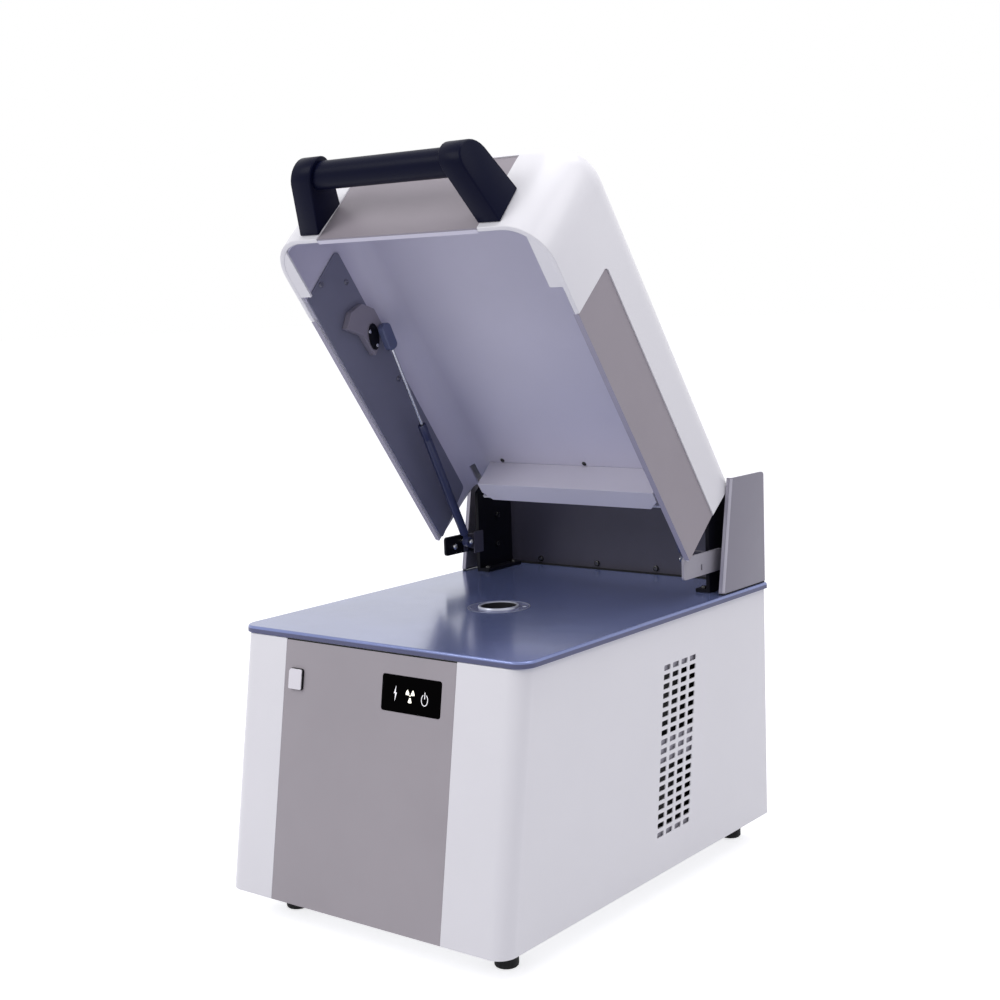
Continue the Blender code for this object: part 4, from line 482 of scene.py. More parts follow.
PAINT = {
    "shell": finish("shell_white", (0.80, 0.793, 0.820), 0.34, coat=0.15, mottle=0.008, grain=900,
                    grain_depth=0.000012),
    "fascia": coated("fascia_taupe", (0.362, 0.333, 0.357), 0.46, 2600),
    "inlay": coated("inlay_taupe", (0.308, 0.276, 0.308), 0.44, 2600),
    "deck": finish("deck_blue", (0.195, 0.240, 0.480), 0.20, metal=0.42, coat=0.45, mottle=0.05,
                   mottle_scale=14, grain=3500, grain_depth=0.000003, rough_spread=0.03),
    # A darker copy of the deck's blue for the lower edge: painted shade
    "deck_edge": finish("deck_edge_shade_blue", (0.105, 0.112, 0.205), 0.42, specular=0.3, mottle=0.04, grain=2400),
    "liner": finish("liner_grey", (0.64, 0.625, 0.735), 0.42, mottle=0.015, grain=1800, grain_depth=0.000010),
    "slate": finish("plate_slate", (0.190, 0.195, 0.265), 0.46, mottle=0.05, grain=2200,
                    grain_depth=0.000015),
    "riser": coated("riser_grey", (0.248, 0.236, 0.283), 0.46, 2200, 0.000014),
    "dark": finish("riser_dark", (0.064, 0.060, 0.088), 0.50, mottle=0.06, grain=2000, grain_depth=0.000014),
    "flange": coated("flange_grey", (0.70, 0.68, 0.745), 0.44),
    "hinge": finish("hinge_black", (0.004, 0.004, 0.008), 0.48, specular=0.12, mottle=0.1, grain=2200,
                    grain_depth=0.000015),
    "handle": finish("handle_navy", (0.0032, 0.0042, 0.018), 0.36, specular=0.06, mottle=0.08, grain=1600,
                     grain_depth=0.000010),
    "strut": finish("fitting_navy", (0.042, 0.050, 0.118), 0.32, specular=0.4, mottle=0.06, grain=1600,
                    grain_depth=0.000008),
    "rod_end": finish("rod_end_blue", (0.112, 0.130, 0.235), 0.40, specular=0.4, mottle=0.05, grain=1600,
                      grain_depth=0.000008),
    "bracket": coated("bracket_grey", (0.37, 0.355, 0.40), 0.46),
    # Lighter copies of the riser's grey: painted light on the cheeks' lips and a painted highlight along
    # their bends
    "lip": coated("lit_lip_grey", (0.36, 0.345, 0.405), 0.44, 2200),
    "bend": coated("bend_highlight_grey", (0.49, 0.475, 0.54), 0.44, 2200),
    # A darker grey for the lid's side rims: painted shade
    "rim": coated("rim_grey", (0.33, 0.315, 0.40), 0.5),
    "block": coated("block_taupe", (0.27, 0.25, 0.30), 0.46),
    "rubber": finish("foot_rubber", (0.010, 0.010, 0.011), 0.72, specular=0.25, mottle=0.15, grain=1200,
                     grain_depth=0.00004),
    "window": finish("window_black", (0.0008, 0.0006, 0.0008), 0.22, specular=0.01, mottle=0.1, grain=300,
                     grain_depth=0.000002),
    "button": finish("button_white", (0.80, 0.78, 0.82), 0.32, mottle=0.01, grain=1500),
    "stage": finish("stage_steel", (0.20, 0.22, 0.38), 0.26, metal=0.45, mottle=0.04, grain=2600),
    "ring": finish("ring_bright", (0.50, 0.52, 0.60), 0.34, metal=0.7, mottle=0.05, grain=1500),
    # The clear film is coloured near black: painted shade of the dark hole beneath it
    "film": finish("film_clear", (0.006, 0.006, 0.009), 0.55, specular=0.1, mottle=0.1, grain=500),
    "lamp": finish("lamp_lens", (0.70, 0.74, 0.80), 0.14, mottle=0.02, grain=800),
    "steel": finish("pin_steel", (0.55, 0.56, 0.59), 0.26, metal=1.0, mottle=0.05, grain=2400,
                    stretch=(1, 1, 0.05)),
    "bolt": finish("bolt_black", (0.010, 0.010, 0.012), 0.20, specular=0.6, mottle=0.1, grain=2400),
    "plate_bolt": finish("bolt_grey", (0.17, 0.17, 0.21), 0.30, metal=0.6, mottle=0.08, grain=2400),
    "black_steel": finish("screw_black", (0.045, 0.045, 0.05), 0.30, metal=0.8, mottle=0.1, grain=2400),
    "zinc": finish("pan_zinc", (0.46, 0.47, 0.49), 0.42, metal=0.9, mottle=0.12, mottle_scale=60, grain=900),
    "panel": coated("panel_grey", (0.42, 0.41, 0.46), 0.46, grain_depth=0.000014),
    "plastic": finish("plastic_black", (0.014, 0.014, 0.016), 0.45, specular=0.35, mottle=0.1, grain=1500,
                      grain_depth=0.00002),
    "aluminium": finish("head_aluminium", (0.58, 0.59, 0.61), 0.36, metal=1.0, mottle=0.05, grain=1800,
                        stretch=(1, 0.04, 1)),
    "nickel": finish("tube_nickel", (0.52, 0.51, 0.49), 0.28, metal=1.0, mottle=0.05, grain=1800),
    "board": finish("board_green", (0.015, 0.10, 0.045), 0.42, mottle=0.15, mottle_scale=120, grain=900),
    "icon": glowing("icon_light", (1.0, 0.95, 0.80), 0.85),
    "sign": glowing("sign_light", (0.80, 0.80, 0.82), 0.55),
}
# A material carries the name of its slot, except where a lit or shaded copy of a paint, or a small part,
# shares another one's
SLOT = {paint: material.name.split(".")[0] for paint, material in PAINT.items()}
SLOT.update({
    "deck_edge": "deck_blue", "lip": "riser_grey", "bend": "riser_grey", "rim": "liner_grey",
    "block": "flange_grey", "bracket": "flange_grey", "rod_end": "fitting_navy", "bolt": "pin_steel",
    "plate_bolt": "pin_steel", "black_steel": "pin_steel", "icon": "lamp_lens", "sign": "lamp_lens",
})
NODE_PAINT = {
    "housing_shell": "shell", "front_fascia": "fascia", "display_window": "window", "switch_body": "plastic",
    "power_button": "button", "deck_plate": "deck", "stage_insert": "stage", "aperture_ring": "ring",
    "status_lamp": "lamp", "beam_window": "film", "base_pan": "zinc", "rear_panel": "panel",
    "power_inlet": "plastic", "switch_bezel": "plastic", "rocker_switch": "plastic", "fan_frame": "plastic",
    "fan_rotor": "plastic", "riser": "riser", "riser_gasket": "rubber", "riser_plate": "dark",
    "optics_block": "aluminium", "shutter_slide": "ring", "xray_tube": "nickel", "detector": "aluminium",
    "hv_generator": "aluminium", "power_supply": "zinc", "main_board": "board", "lid_shell": "shell",
    "front_inlay": "inlay", "lid_liner": "liner", "rear_flange": "flange", "handle_tube": "handle",
    "strut_bracket_right": "bracket", "strut_bracket_left": "hinge",
}
PAIRED = {
    "hinge_plate": "hinge", "hinge_pin": "steel", "side_inlay": "inlay", "inner_plate": "slate",
    "hinge_arm": "hinge", "handle_bracket": "handle", "strut_block": "block", "strut_keeper": "hinge",
    "strut_cylinder": "strut", "strut_rod": "strut",
}
for stem, paint in PAIRED.items():
    NODE_PAINT.update({f"{stem}_{side}": paint for side, _ in SIDES})
NODE_PAINT.update({f"foot_{row}_{side}": "rubber" for row in ("front", "rear") for side, _ in SIDES})
BODY_OF = {node: body for body, nodes in frame["record"]["behaviour"]["bodies"].items() for node in nodes}


# Pieces

def mesh_from(name, shape):
    mesh = bpy.data.meshes.new(name)
    work = bmesh.new()
    points, loops = shape
    verts = [work.verts.new(point) for point in points]
    for loop in loops:
        work.faces.new([verts[i] for i in loop])
    bmesh.ops.recalc_face_normals(work, faces=work.faces)
    work.to_mesh(mesh)
    work.free()
    return mesh


def linked(name, mesh):
    thing = bpy.data.objects.new(name, mesh)
    bpy.context.scene.collection.objects.link(thing)
    return thing


def settle(thing):
    """Turns the result of the modifiers into the piece's own mesh."""
    bpy.context.view_layer.update()
    mesh = bpy.data.meshes.new_from_object(thing.evaluated_get(bpy.context.evaluated_depsgraph_get()))
    thing.modifiers.clear()
    thing.data = mesh


def combine(thing, shapes, operation):
    tool = linked("tool", mesh_from("tool", merged(shapes)))
    step = thing.modifiers.new("Boolean", "BOOLEAN")
    step.operation = operation
    step.object = tool
    settle(thing)
    bpy.data.objects.remove(tool)


def soften(thing, width, segments=3, angle=30):
    bevel = thing.modifiers.new("Bevel", "BEVEL")
    bevel.width = width
    bevel.segments = segments
    bevel.limit_method = "ANGLE"
    bevel.angle_limit = math.radians(angle)
    bevel.harden_normals = True
    bevel.use_clamp_overlap = True


def smooth(thing):
    thing.data.shade_smooth()
    thing.data.set_sharp_from_angle(angle=SHARP_ANGLE)


def complete(thing, paint, body, stands_for=(), edge=0.0, segments=3, angle=30):
    """Paints a piece, smooths it or softens its edges, and ties it to its body."""
    thing.data.materials.clear()
    thing.data.materials.append(PAINT[paint])
    if edge:
        thing.data.shade_smooth()
        soften(thing, edge, segments, angle)
    else:
        smooth(thing)
    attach(thing, body)
    if stands_for:
        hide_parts(*stands_for)
    return thing


def piece(name, shape, paint, body, stands_for=(), edge=0.0, segments=3, cuts=()):
    thing = linked(name, mesh_from(name, shape))
    if cuts:
        combine(thing, cuts, "DIFFERENCE")
    return complete(thing, paint, body, stands_for, edge, segments)


def clean_copy(node):
    """The node's own form as a new mesh of whole flat faces."""
    source = frame["nodes"][node].data
    work = bmesh.new()
    verts = [work.verts.new(v.co) for v in source.vertices]
    for polygon in source.polygons:
        work.faces.new([verts[i] for i in polygon.vertices])
    bmesh.ops.remove_doubles(work, verts=work.verts, dist=1e-6)
    bmesh.ops.dissolve_limit(work, angle_limit=math.radians(0.6), verts=work.verts, edges=work.edges)
    bmesh.ops.recalc_face_normals(work, faces=work.faces)
    mesh = bpy.data.meshes.new(node + "_dressed")
    work.to_mesh(mesh)
    work.free()
    return mesh


def dress(node, edge, segments=2):
    """A copy of a node with softened edges, which stands for it."""
    thing = linked(node + "_dressed", clean_copy(node))
    complete(thing, NODE_PAINT[node], BODY_OF[node], (node,), edge, segments, angle=32)


def repaint(node):
    data = frame["nodes"][node].data
    data.materials.clear()
    data.materials.append(PAINT[NODE_PAINT[node]])


# Base

def base_plan(half, front, inset, level):
    """The base's outline at a level, drawn in all round by the inset."""
    half, front, rear = half - inset, front + inset, REAR - inset
    corners = [(-half, front), (half, front), (half, rear), (-half, rear)]
    front_radius, rear_radius = FRONT_CORNER - inset, REAR_CORNER - inset
    radii = (front_radius, front_radius, rear_radius, rear_radius)
    return [Vector((*point, level)) for point in rounded(corners, radii)]


def edge_levels(low, high, edge, steps):
    """Pairs (inset, height) up a form whose lower and upper edges are rounded."""
    levels = [(inset, low + rise) for inset, rise in quarter(edge, steps)]
    return levels + [(inset, high - rise) for inset, rise in reversed(quarter(edge, steps))]


def front_at(level):
    return -REAR + (level - FOOT_HEIGHT) * math.tan(FRONT_LEAN)


def field_outline(place, half, margin, radii):
    """A rounded rectangle about a place, larger all round by the margin."""
    corners = rectangle(*around(place[0], half[0] + margin), *around(place[1], half[1] + margin))
    return rounded(corners, radii, 8)


def window_outline(margin):
    return field_outline(WINDOW_PLACE, WINDOW_HALF, margin, WINDOW_CORNER)


def button_outline(margin, radii=BUTTON_CORNER):
    return field_outline(BUTTON_PLACE, BUTTON_HALF, margin, radii)


def vent_places():
    front, top = VENT_START
    for column in range(VENT_COLUMNS):
        for row in range(VENT_ROWS):
            drop = row * VENT_ROW_PITCH
            yield front + column * VENT_COLUMN_PITCH - drop * VENT_LEAN, FOOT_HEIGHT + top - drop


def vent_cutters():
    half_length, half_height = VENT_SLOT_HALF
    slot = rectangle(*around(0, half_length), *around(0, half_height))
    outline = rounded([(y + z * VENT_LEAN, z) for y, z in slot], VENT_SLOT_CORNER, 3)
    reach = SHELL_HALF + OVERRUN
    return [prism([(y + p.x, z + p.y) for p in outline], "x", -reach, reach) for y, z in vent_places()]


def make_housing():
    outer = [base_plan(SHELL_HALF, front_at(z), inset, z)
             for inset, z in edge_levels(FOOT_HEIGHT, SHELL_TOP, SHELL_EDGE, 4)]
    inner = [base_plan(SHELL_HALF, front_at(z), SHELL_WALL, z) for z in (SHELL_TOP, FOOT_HEIGHT)]
    pocket = box(around(FASCIA_X, FASCIA_POCKET_HALF), (-OVERRUN, FASCIA_POCKET_DEPTH),
                 (-OVERRUN, FACE_HEIGHT + OVERRUN))
    through = (0, SHELL_WALL + OVERRUN)
    window = prism(window_outline(GAP - WINDOW_LEDGE), "y", *through)
    button = prism(button_outline(RUNNING_GAP), "y", *through)
    rear = box(around(0, REAR_OPENING_HALF), (REAR - SHELL_WALL - OVERRUN, REAR + OVERRUN), REAR_OPENING_RISE)
    field = rectangle(*VENT_FIELD_ALONG, *VENT_FIELD_RISE)
    thin = prism([(y + (z - VENT_FIELD_MIDDLE) * VENT_LEAN, z) for y, z in field], "x",
                 SHELL_HALF - SHELL_WALL - OVERRUN, SHELL_HALF - VENT_WALL)
    thing = piece("housing_moulding", hoop(outer + inner), "shell", "base", ("housing_shell",),
                  cuts=[moved(pocket, FACE), rear] + mirrored(thin))
    combine(thing, vent_cutters(), "DIFFERENCE")
    combine(thing, [moved(window, FACE), moved(button, FACE)], "DIFFERENCE")
    smooth(thing)


def make_vent_shade_and_rails():
    """What shows through the slots: a black sheet, painted shade inside the housing, with pale rails behind
    some of the rows.
    """
    rails = merged([box(RAIL_X, RAIL_ALONG, rise) for rise in RAIL_RISES])
    for name, side in SIDES:
        piece("vent_shade_sheet_" + name, on_side(box(*VENT_SHADE_SHEET), side), "plastic", "base", edge=PLATE_EDGE)
        piece("vent_rails_" + name, on_side(rails, side), "panel", "base", edge=PLATE_EDGE)


def make_deck():
    front = front_at(SHELL_TOP)
    levels = edge_levels(DECK_BOTTOM, DECK_TOP, DECK_EDGE, 6)
    rings = [base_plan(DECK_HALF, front, inset, z) for inset, z in levels]
    middle = (0, STAGE_Y)
    recess = prism(circle(RECESS_RADIUS, middle, 96), "z", DECK_TOP - RECESS_DEPTH, DECK_TOP + OVERRUN)
    thing = piece("deck_top", stack(rings), "deck", "base", ("deck_plate",), cuts=[recess])
    combine(thing, [prism(circle(RING_HOLE, middle, 72), "z", DECK_BOTTOM - OVERRUN, DECK_TOP)], "DIFFERENCE")
    smooth(thing)
    thing.modifiers.new("Normals", "WEIGHTED_NORMAL").keep_sharp = True
    # A band over the lower part of the deck's edge in a darker blue: painted shade below the lit top rounding
    low, high = EDGE_SHADE_RISE
    section = ((-EDGE_SHADE_PROUD, low), (-EDGE_SHADE_PROUD, high), (GAP, high), (GAP, low))
    edge_band = hoop([base_plan(DECK_HALF, front, inset, z) for inset, z in section])
    piece("deck_edge_shade_band", edge_band, "deck_edge", "base")
    seal = box(around(0, SEAL_HALF), SEAL_ALONG, (DECK_TOP, DECK_TOP + GAP + SEAL_LIP))
    piece("riser_seal", seal, "rubber", "base")


def stage_ring(profile):
    return hoop([[Vector((x, y, DECK_TOP + rise)) for x, y in circle(radius, (0, STAGE_Y), 96)]
                 for radius, rise in profile])


def make_stage():
    bottom = DECK_TOP - STAGE_THICKNESS - OVERRUN
    hole = prism(circle(LAMP_HOLE, LAMP_PLACE, 24), "z", bottom, DECK_TOP + OVERRUN)
    piece("stage_disc", stage_ring(STAGE_DISC), "stage", "base", ("stage_insert",), cuts=[hole])
    piece("stage_rim", stage_ring(STAGE_RIM), "ring", "base")
    piece("aperture_collar", stage_ring(APERTURE_COLLAR), "ring", "base", ("aperture_ring",))
    # Black sleeve inside the bright collar: painted shade in the hole
    piece("aperture_shade_sleeve", stage_ring(APERTURE_SHADE_SLEEVE), "plastic", "base")
    profile = [(radius, DECK_TOP + rise) for radius, rise in LAMP_LENS]
    lens = round_form(profile, Matrix.Translation((*LAMP_PLACE, 0)))
    piece("lamp_dome", lens, "lamp", "base", ("status_lamp",))


def make_front():
    across = around(FASCIA_X, FASCIA_HALF)
    plate = box(across, (0, FASCIA_THICKNESS), (FASCIA_FOOT, FACE_HEIGHT - SHADOW_STRIP_HEIGHT))
    # A dark rubber-coloured strip along the top of the fascia: painted shadow line under the deck's front
    # edge
    shadow_strip = box(across, (SHADOW_STRIP_SUNK, FASCIA_THICKNESS), (FACE_HEIGHT - SHADOW_STRIP_HEIGHT, FACE_HEIGHT - SHADOW_STRIP_GAP))
    piece("fascia_shadow_strip", moved(shadow_strip, FACE), "rubber", "base")
    through = (-OVERRUN, FASCIA_THICKNESS + OVERRUN)
    holes = [prism(window_outline(GAP), "y", *through), prism(button_outline(RUNNING_GAP), "y", *through)]
    fascia = linked("fascia_plate", mesh_from("fascia_plate", plate))
    combine(fascia, holes, "DIFFERENCE")
    fascia.data.transform(FACE)
    complete(fascia, "fascia", "base", ("front_fascia",), edge=FINE_EDGE)
    dress("display_window", PLATE_EDGE)
    body = moved(prism(button_outline(-BUTTON_INSET), "y", *BUTTON_BODY), FACE)
    piece("button_body", body, "plastic", "button", ("power_button",), edge=FINE_EDGE)
    cap = moved(prism(button_outline(0, BUTTON_CAP_CORNERS), "y", *BUTTON_CAP), FACE)
    piece("button_cap", cap, "button", "button", edge=PLATE_EDGE)
    repaint("switch_body")
    make_icons()


def on_face(outline):
    return moved(prism(outline, "y", *SIGN_FACE), FACE)


def make_icons():
    """Three lit signs on the glass: high voltage, radiation and power."""
    bolt = [(0.0358, 0.2554), (0.0330, 0.2467), (0.0349, 0.2470), (0.0345, 0.2386), (0.0372, 0.2481),
            (0.0354, 0.2478)]
    centre = (0.0552, 0.2466)
    shapes = []
    for turn in (30, 150, 270):
        start, end = math.radians(turn - 25), math.radians(turn + 25)
        blade = arc(centre, 0.0023, end, start, 4) + arc(centre, 0.0076, start, end, 10)
        shapes.append(on_face([(centre[0] + (x - centre[0]) * 0.80, y) for x, y in blade]))
    shapes.append(on_face(circle(0.0009, centre, 16)))
    piece("radiation_sign", merged(shapes), "icon", "base")
    centre = Vector((0.0749, 0.2444))
    outer, inner = [], []
    for i in range(37):
        turn = math.radians(90 + 30 + 300 * i / 36)
        outer.append((centre.x + 0.0046 * math.cos(turn), centre.y + 0.0062 * math.sin(turn)))
        inner.append((centre.x + 0.0038 * math.cos(turn), centre.y + 0.0054 * math.sin(turn)))
    power = [on_face(outer + inner[::-1]), on_face(rectangle(*around(0.0750, 0.00045), 0.2455, 0.2524))]
    piece("voltage_and_power_signs", merged([on_face(bolt)] + power), "sign", "base")


# Riser, hinges and struts

def make_riser():
    dress("riser", PLATE_EDGE)
    dress("riser_plate", FINE_EDGE)
    repaint("riser_gasket")
    foot = DECK_TOP + GAP
    y, z = RISER_PLATE_FACE - RISER_SCREW_SUNK, foot + RISER_SCREW_RISE
    heads = [cap_screw((share * RISER_PLATE_HALF, y, z), (0, -1, 0), *RISER_SCREW)
             for share in RISER_SCREW_SHARES]
    piece("riser_screws", merged(heads), "bolt", "base")
    # Strips over each cheek's lip and bend, lighter than the riser: painted light on the lip, a painted
    # highlight along the bend
    outer, inner = BEND_RADII
    start, end = BEND_TURN
    bend = arc(BEND_CENTRE, outer, start, end, 6) + arc(BEND_CENTRE, inner, end, start, 6)
    for name, side in SIDES:
        for kind, section in (("lip", rectangle(*LIP_SECTION)), ("bend", bend)):
            rings = []
            for level in CHEEK_RISE:
                front = CHEEK_FRONT + level * CHEEK_LEAN
                rings.append([Vector((x, front + back, foot + level)) for x, back in section])
            piece(f"riser_{kind}_{name}", on_side(stack(rings), side), kind, "base")


def make_hinges():
    for name, side in SIDES:
        dress("hinge_plate_" + name, FIRM_EDGE)
        dress("hinge_pin_" + name, FINE_EDGE)
        dress("hinge_arm_" + name, FIRM_EDGE)
        heads = [cap_screw((side * HINGE_FACE, y, DECK_TOP + rise), (-side, 0, 0), *HINGE_SCREW)
                 for y, rise in HINGE_FACE_SCREWS]
        foot = DECK_TOP + GAP + HINGE_FOOT_TOP
        heads += [cap_screw((side * HINGE_FOOT_X, y, foot), (0, 0, 1), *HINGE_SCREW)
                  for y in HINGE_FOOT_SCREWS]
        piece("hinge_screws_" + name, merged(heads), "bolt", "base")


def make_strut_stand(name, side):
    """The bracket with its slot, the stud and bolt in it, and the guard behind it."""
    y, z = BRACKET_SLOT
    outline = rounded(rectangle(*BRACKET_ALONG, *BRACKET_RISE[name]), BRACKET_CORNER, 8)
    plate = prism(outline, "x", *BRACKET_X)
    slot = box(BRACKET_SLOT_X, around(y, BRACKET_SLOT_HALF[0]), around(z, BRACKET_SLOT_HALF[1]))
    node = "strut_bracket_" + name
    bracket = piece("strut_stand_" + name, on_side(plate, side), NODE_PAINT[node], "base", (node,),
                    cuts=[on_side(slot, side)])
    bracket.data.shade_smooth()
    soften(bracket, FIRM_EDGE)
    stud = prism(circle(STUD_RADIUS, STRUT_FOOT.yz, 32), "x", *STUD_X)
    bolt = prism(circle(BOLT_RADIUS, BOLT_PLACE, 32), "x", *BOLT_X)
    piece("strut_stud_" + name, on_side(merged([stud, bolt]), side), "steel", "base", edge=FINE_EDGE)
    back = box(GUARD_BACK_X, around(y, GUARD_BACK_HALF[0]), around(z, GUARD_BACK_HALF[1]))
    guard = merged([back, box(*GUARD_LEAF), box(*GUARD_SPACER)])
    piece("strut_guard_" + name, on_side(guard, side), "dark", "base", edge=FINE_EDGE)


def make_strut_lug(name, side):
    """The block on the lid that holds the strut's upper end, with the oval keeper on it."""
    block = moved(on_side(lid_prism(rounded(BLOCK_OUTLINE, BLOCK_CORNER, 4), *BLOCK_X), side), LID)
    piece("strut_lug_" + name, block, "block", "lid", ("strut_block_" + name,), edge=BLOCK_EDGE)
    turned = Matrix.Rotation(KEEPER_TURN, 2)
    oval = [turned @ Vector((KEEPER_HALF[0] * x, KEEPER_HALF[1] * y)) for x, y in circle(1, (0, 0), 40)]
    keeper = lid_prism([(KEEPER_PLACE[0] + p.x, KEEPER_PLACE[1] + p.y) for p in oval], *KEEPER_X)
    keeper = moved(on_side(keeper, side), LID)
    piece("keeper_plate_" + name, keeper, "hinge", "lid", ("strut_keeper_" + name,), edge=FINE_EDGE)


def make_strut(name, side):
    """The cylinder with its eye, the bare rod and the block at the rod's end."""
    place = Matrix.Translation((side * STRUT_X, *STRUT_FOOT.yz)) @ Matrix.Rotation(STRUT_LEAN, 4, "X")
    tube = moved(round_form(STRUT_TUBE, Matrix.Identity(4), 40), place)
    cylinder = piece("strut_tube_" + name, tube, "strut", "cylinder_" + name, ("strut_cylinder_" + name,))
    turned = place @ Matrix.Rotation(math.pi / 2, 4, "Y")
    combine(cylinder, [round_form(STRUT_EYE, turned, 40)], "UNION")
    combine(cylinder, [round_form(STRUT_EYE_HOLE, turned)], "DIFFERENCE")
    cylinder.data.materials.clear()
    cylinder.data.materials.append(PAINT["strut"])
    smooth(cylinder)
    rod = moved(round_form(STRUT_ROD, Matrix.Identity(4), 32), place)
    piece("strut_piston_" + name, rod, "steel", "rod_" + name)
    corners = rectangle(*around(0, ROD_END_HALF[0]), *around(STRUT_LENGTH, ROD_END_HALF[1]))
    end = moved(on_side(prism(rounded(corners, ROD_END_CORNER, 8), "x", *ROD_END_X), side), place)
    piece("strut_end_" + name, end, "rod_end", "rod_" + name, ("strut_rod_" + name,), edge=ROD_END_EDGE,
          segments=4)


def make_strut_screws(name, side):
    outward = (-side, 0, 0)
    heads = [dome_screw((side * STUD_SCREW_X, *STRUT_FOOT.yz), outward, *STUD_SCREW),
             dome_screw((side * BOLT_SCREW_X, *BOLT_PLACE), outward, *BOLT_SCREW)]
    piece("bracket_screws_" + name, merged(heads), "steel", "base")
    heads = [dome_screw(LID @ lid_point(side * KEEPER_SCREW_X, *point), outward, *KEEPER_SCREW)
             for point in KEEPER_SCREWS]
    piece("keeper_screws_" + name, merged(heads), "steel", "lid")


def make_struts():
    for name, side in SIDES:
        make_strut_stand(name, side)
        make_strut_lug(name, side)
        make_strut(name, side)
        make_strut_screws(name, side)


# Lid

def lid_point(x, along, rise):
    return Vector((x, PIVOT_ALONG - along, rise - PIVOT_RISE))


def drawn_in(rise, top, radius):
    above = max(0.0, rise - (top - radius))
    return radius - math.sqrt(max(0.0, radius ** 2 - above ** 2))


def lean_front(rise, face, top, radius):
    start = top - radius - radius * math.sin(LID_FRONT_LEAN)
    if rise <= start:
        return face + rise * math.tan(LID_FRONT_LEAN)
    middle = face + start * math.tan(LID_FRONT_LEAN) - radius * math.cos(LID_FRONT_LEAN)
    return middle + math.sqrt(max(0.0, radius ** 2 - (rise - (top - radius)) ** 2))


def rear_edge(rise):
    if rise <= KNEE:
        start, step = REAR_BELOW_KNEE
        return start + step * max(0.0, rise) / KNEE
    start, step, height = REAR_ABOVE_KNEE
    return start + step * min(1.0, (rise - KNEE) / height)


def flare(rise, edge):
    """How far a rounded rim edge has drawn back at a height above the rim."""
    if edge <= 0 or rise >= edge:
        return 0.0
    return edge - math.sqrt(max(0.0, edge ** 2 - (edge - max(0.0, rise)) ** 2))


def lid_form(bottom, top, half, face, radius, corner, rear_round, rear_of, rim=0.0):
    """A filled lid form; rim rounds the lower edge, inwards if positive and outwards if negative."""
    start = top - radius - radius * math.sin(LID_FRONT_LEAN)
    turns = [math.pi / 2 * i / ROUND_STEPS for i in range(ROUND_STEPS + 1)]
    rises = {bottom, start, KNEE} | {top - radius + radius * math.sin(turn) for turn in turns}
    rises |= {abs(rim) * share for share in (0, 0.1, 0.3, 0.6, 1)} if rim else set()
    rings = []
    for rise in sorted(r for r in rises if bottom <= r <= top):
        inset = drawn_in(rise, top, radius)
        edge = math.copysign(flare(rise, abs(rim)), rim)
        rear = rear_of(rise) + drawn_in(rise, top, rear_round)
        front = lean_front(rise, face, top, radius) - edge
        width = half - inset - edge
        corners = [(-width, rear), (width, rear), (width, front), (-width, front)]
        bend = max(JOIN, corner - inset - edge)
        radii = (REAR_SIDE_CORNER, REAR_SIDE_CORNER, bend, bend)
        rings.append([lid_point(*point, rise) for point in rounded(corners, radii)])
    return stack(rings)


def across_front(thickness):
    return thickness / math.cos(LID_FRONT_LEAN)


def lid_prism(outline, low, high):
    return stack([[lid_point(x, *point) for point in outline] for x in (low, high)])


def lid_box(x, along, rise):
    return lid_prism(rectangle(*along, *rise), *x)


def front_slab(half, low, high, out, inwards):
    lean = math.tan(LID_FRONT_LEAN)
    outline = [(LID_LENGTH + low * lean + out, low), (LID_LENGTH + high * lean + out, high),
               (LID_LENGTH + high * lean - inwards, high), (LID_LENGTH + low * lean - inwards, low)]
    return lid_prism(outline, -half, half)


def side_inlay_outline(margin, past):
    top = SIDE_INLAY_TOP + margin
    foot, head = SIDE_INLAY_FRONT
    corners = [(REAR_BELOW_KNEE[0] - past, -past), (foot + margin, -past), (head + margin, top),
               (REAR_ABOVE_KNEE[0] - past, top)]
    return rounded(corners, (JOIN, JOIN, SIDE_INLAY_CORNER, JOIN), 8)


def gusset():
    centre = (LID_HALF - LID_CORNER, LID_LENGTH - LID_CORNER)
    radius = LID_CORNER - GUSSET_INSET
    across, along = GUSSET_CORNER
    end = math.acos((across - centre[0]) / radius)
    points = [(across, along), (centre[0] + radius, along)] + arc(centre, radius, 0, end, 16)
    return stack([[lid_point(*point, rise) for point in points] for rise in GUSSET_RISE])


def make_lid_shell():
    outer = lid_form(0, LID_HEIGHT, LID_HALF, LID_LENGTH, LID_TOP_ROUND, LID_CORNER, REAR_ROUND, rear_edge,
                     rim=RIM_ROUND)
    half = LID_HALF - LID_WALL
    top = LID_HEIGHT - LID_TOP_WALL
    face = LID_LENGTH - across_front(LID_FRONT_WALL)
    inner = lid_form(-OVERRUN, top, half, face, CAVITY_ROUND, CAVITY_CORNER, JOIN,
                     lambda rise: rear_edge(rise) + LID_REAR_WALL, rim=-RIM_ROUND)
    rear = (-OVERRUN, REAR_CUT[0])
    eye = lid_box((ARM_CUT_START, half), rear, (-OVERRUN, top - CAVITY_ROUND))
    side_pocket = lid_prism(side_inlay_outline(GAP, OVERRUN), LID_HALF - INLAY_DEPTH, LID_HALF + OVERRUN)
    inlay_half, inlay_top = FRONT_INLAY
    front_pocket = front_slab(inlay_half + GAP, -OVERRUN, inlay_top + GAP, OVERRUN, across_front(INLAY_DEPTH))
    thing = linked("lid_moulding", mesh_from("lid_moulding", outer))
    combine(thing, [inner], "DIFFERENCE")
    combine(thing, [lid_box(around(0, half), rear, (-OVERRUN, REAR_CUT[1]))], "DIFFERENCE")
    combine(thing, mirrored(eye), "DIFFERENCE")
    for end, above in ARM_CUTS:
        combine(thing, mirrored(lid_box((ARM_CUT_START, end), rear, (0, PIVOT_RISE + above))), "DIFFERENCE")
    combine(thing, mirrored(side_pocket), "DIFFERENCE")
    combine(thing, [front_pocket], "DIFFERENCE")
    combine(thing, mirrored(gusset()), "UNION")
    thing.data.transform(LID)
    complete(thing, "shell", "lid", ("lid_shell",))


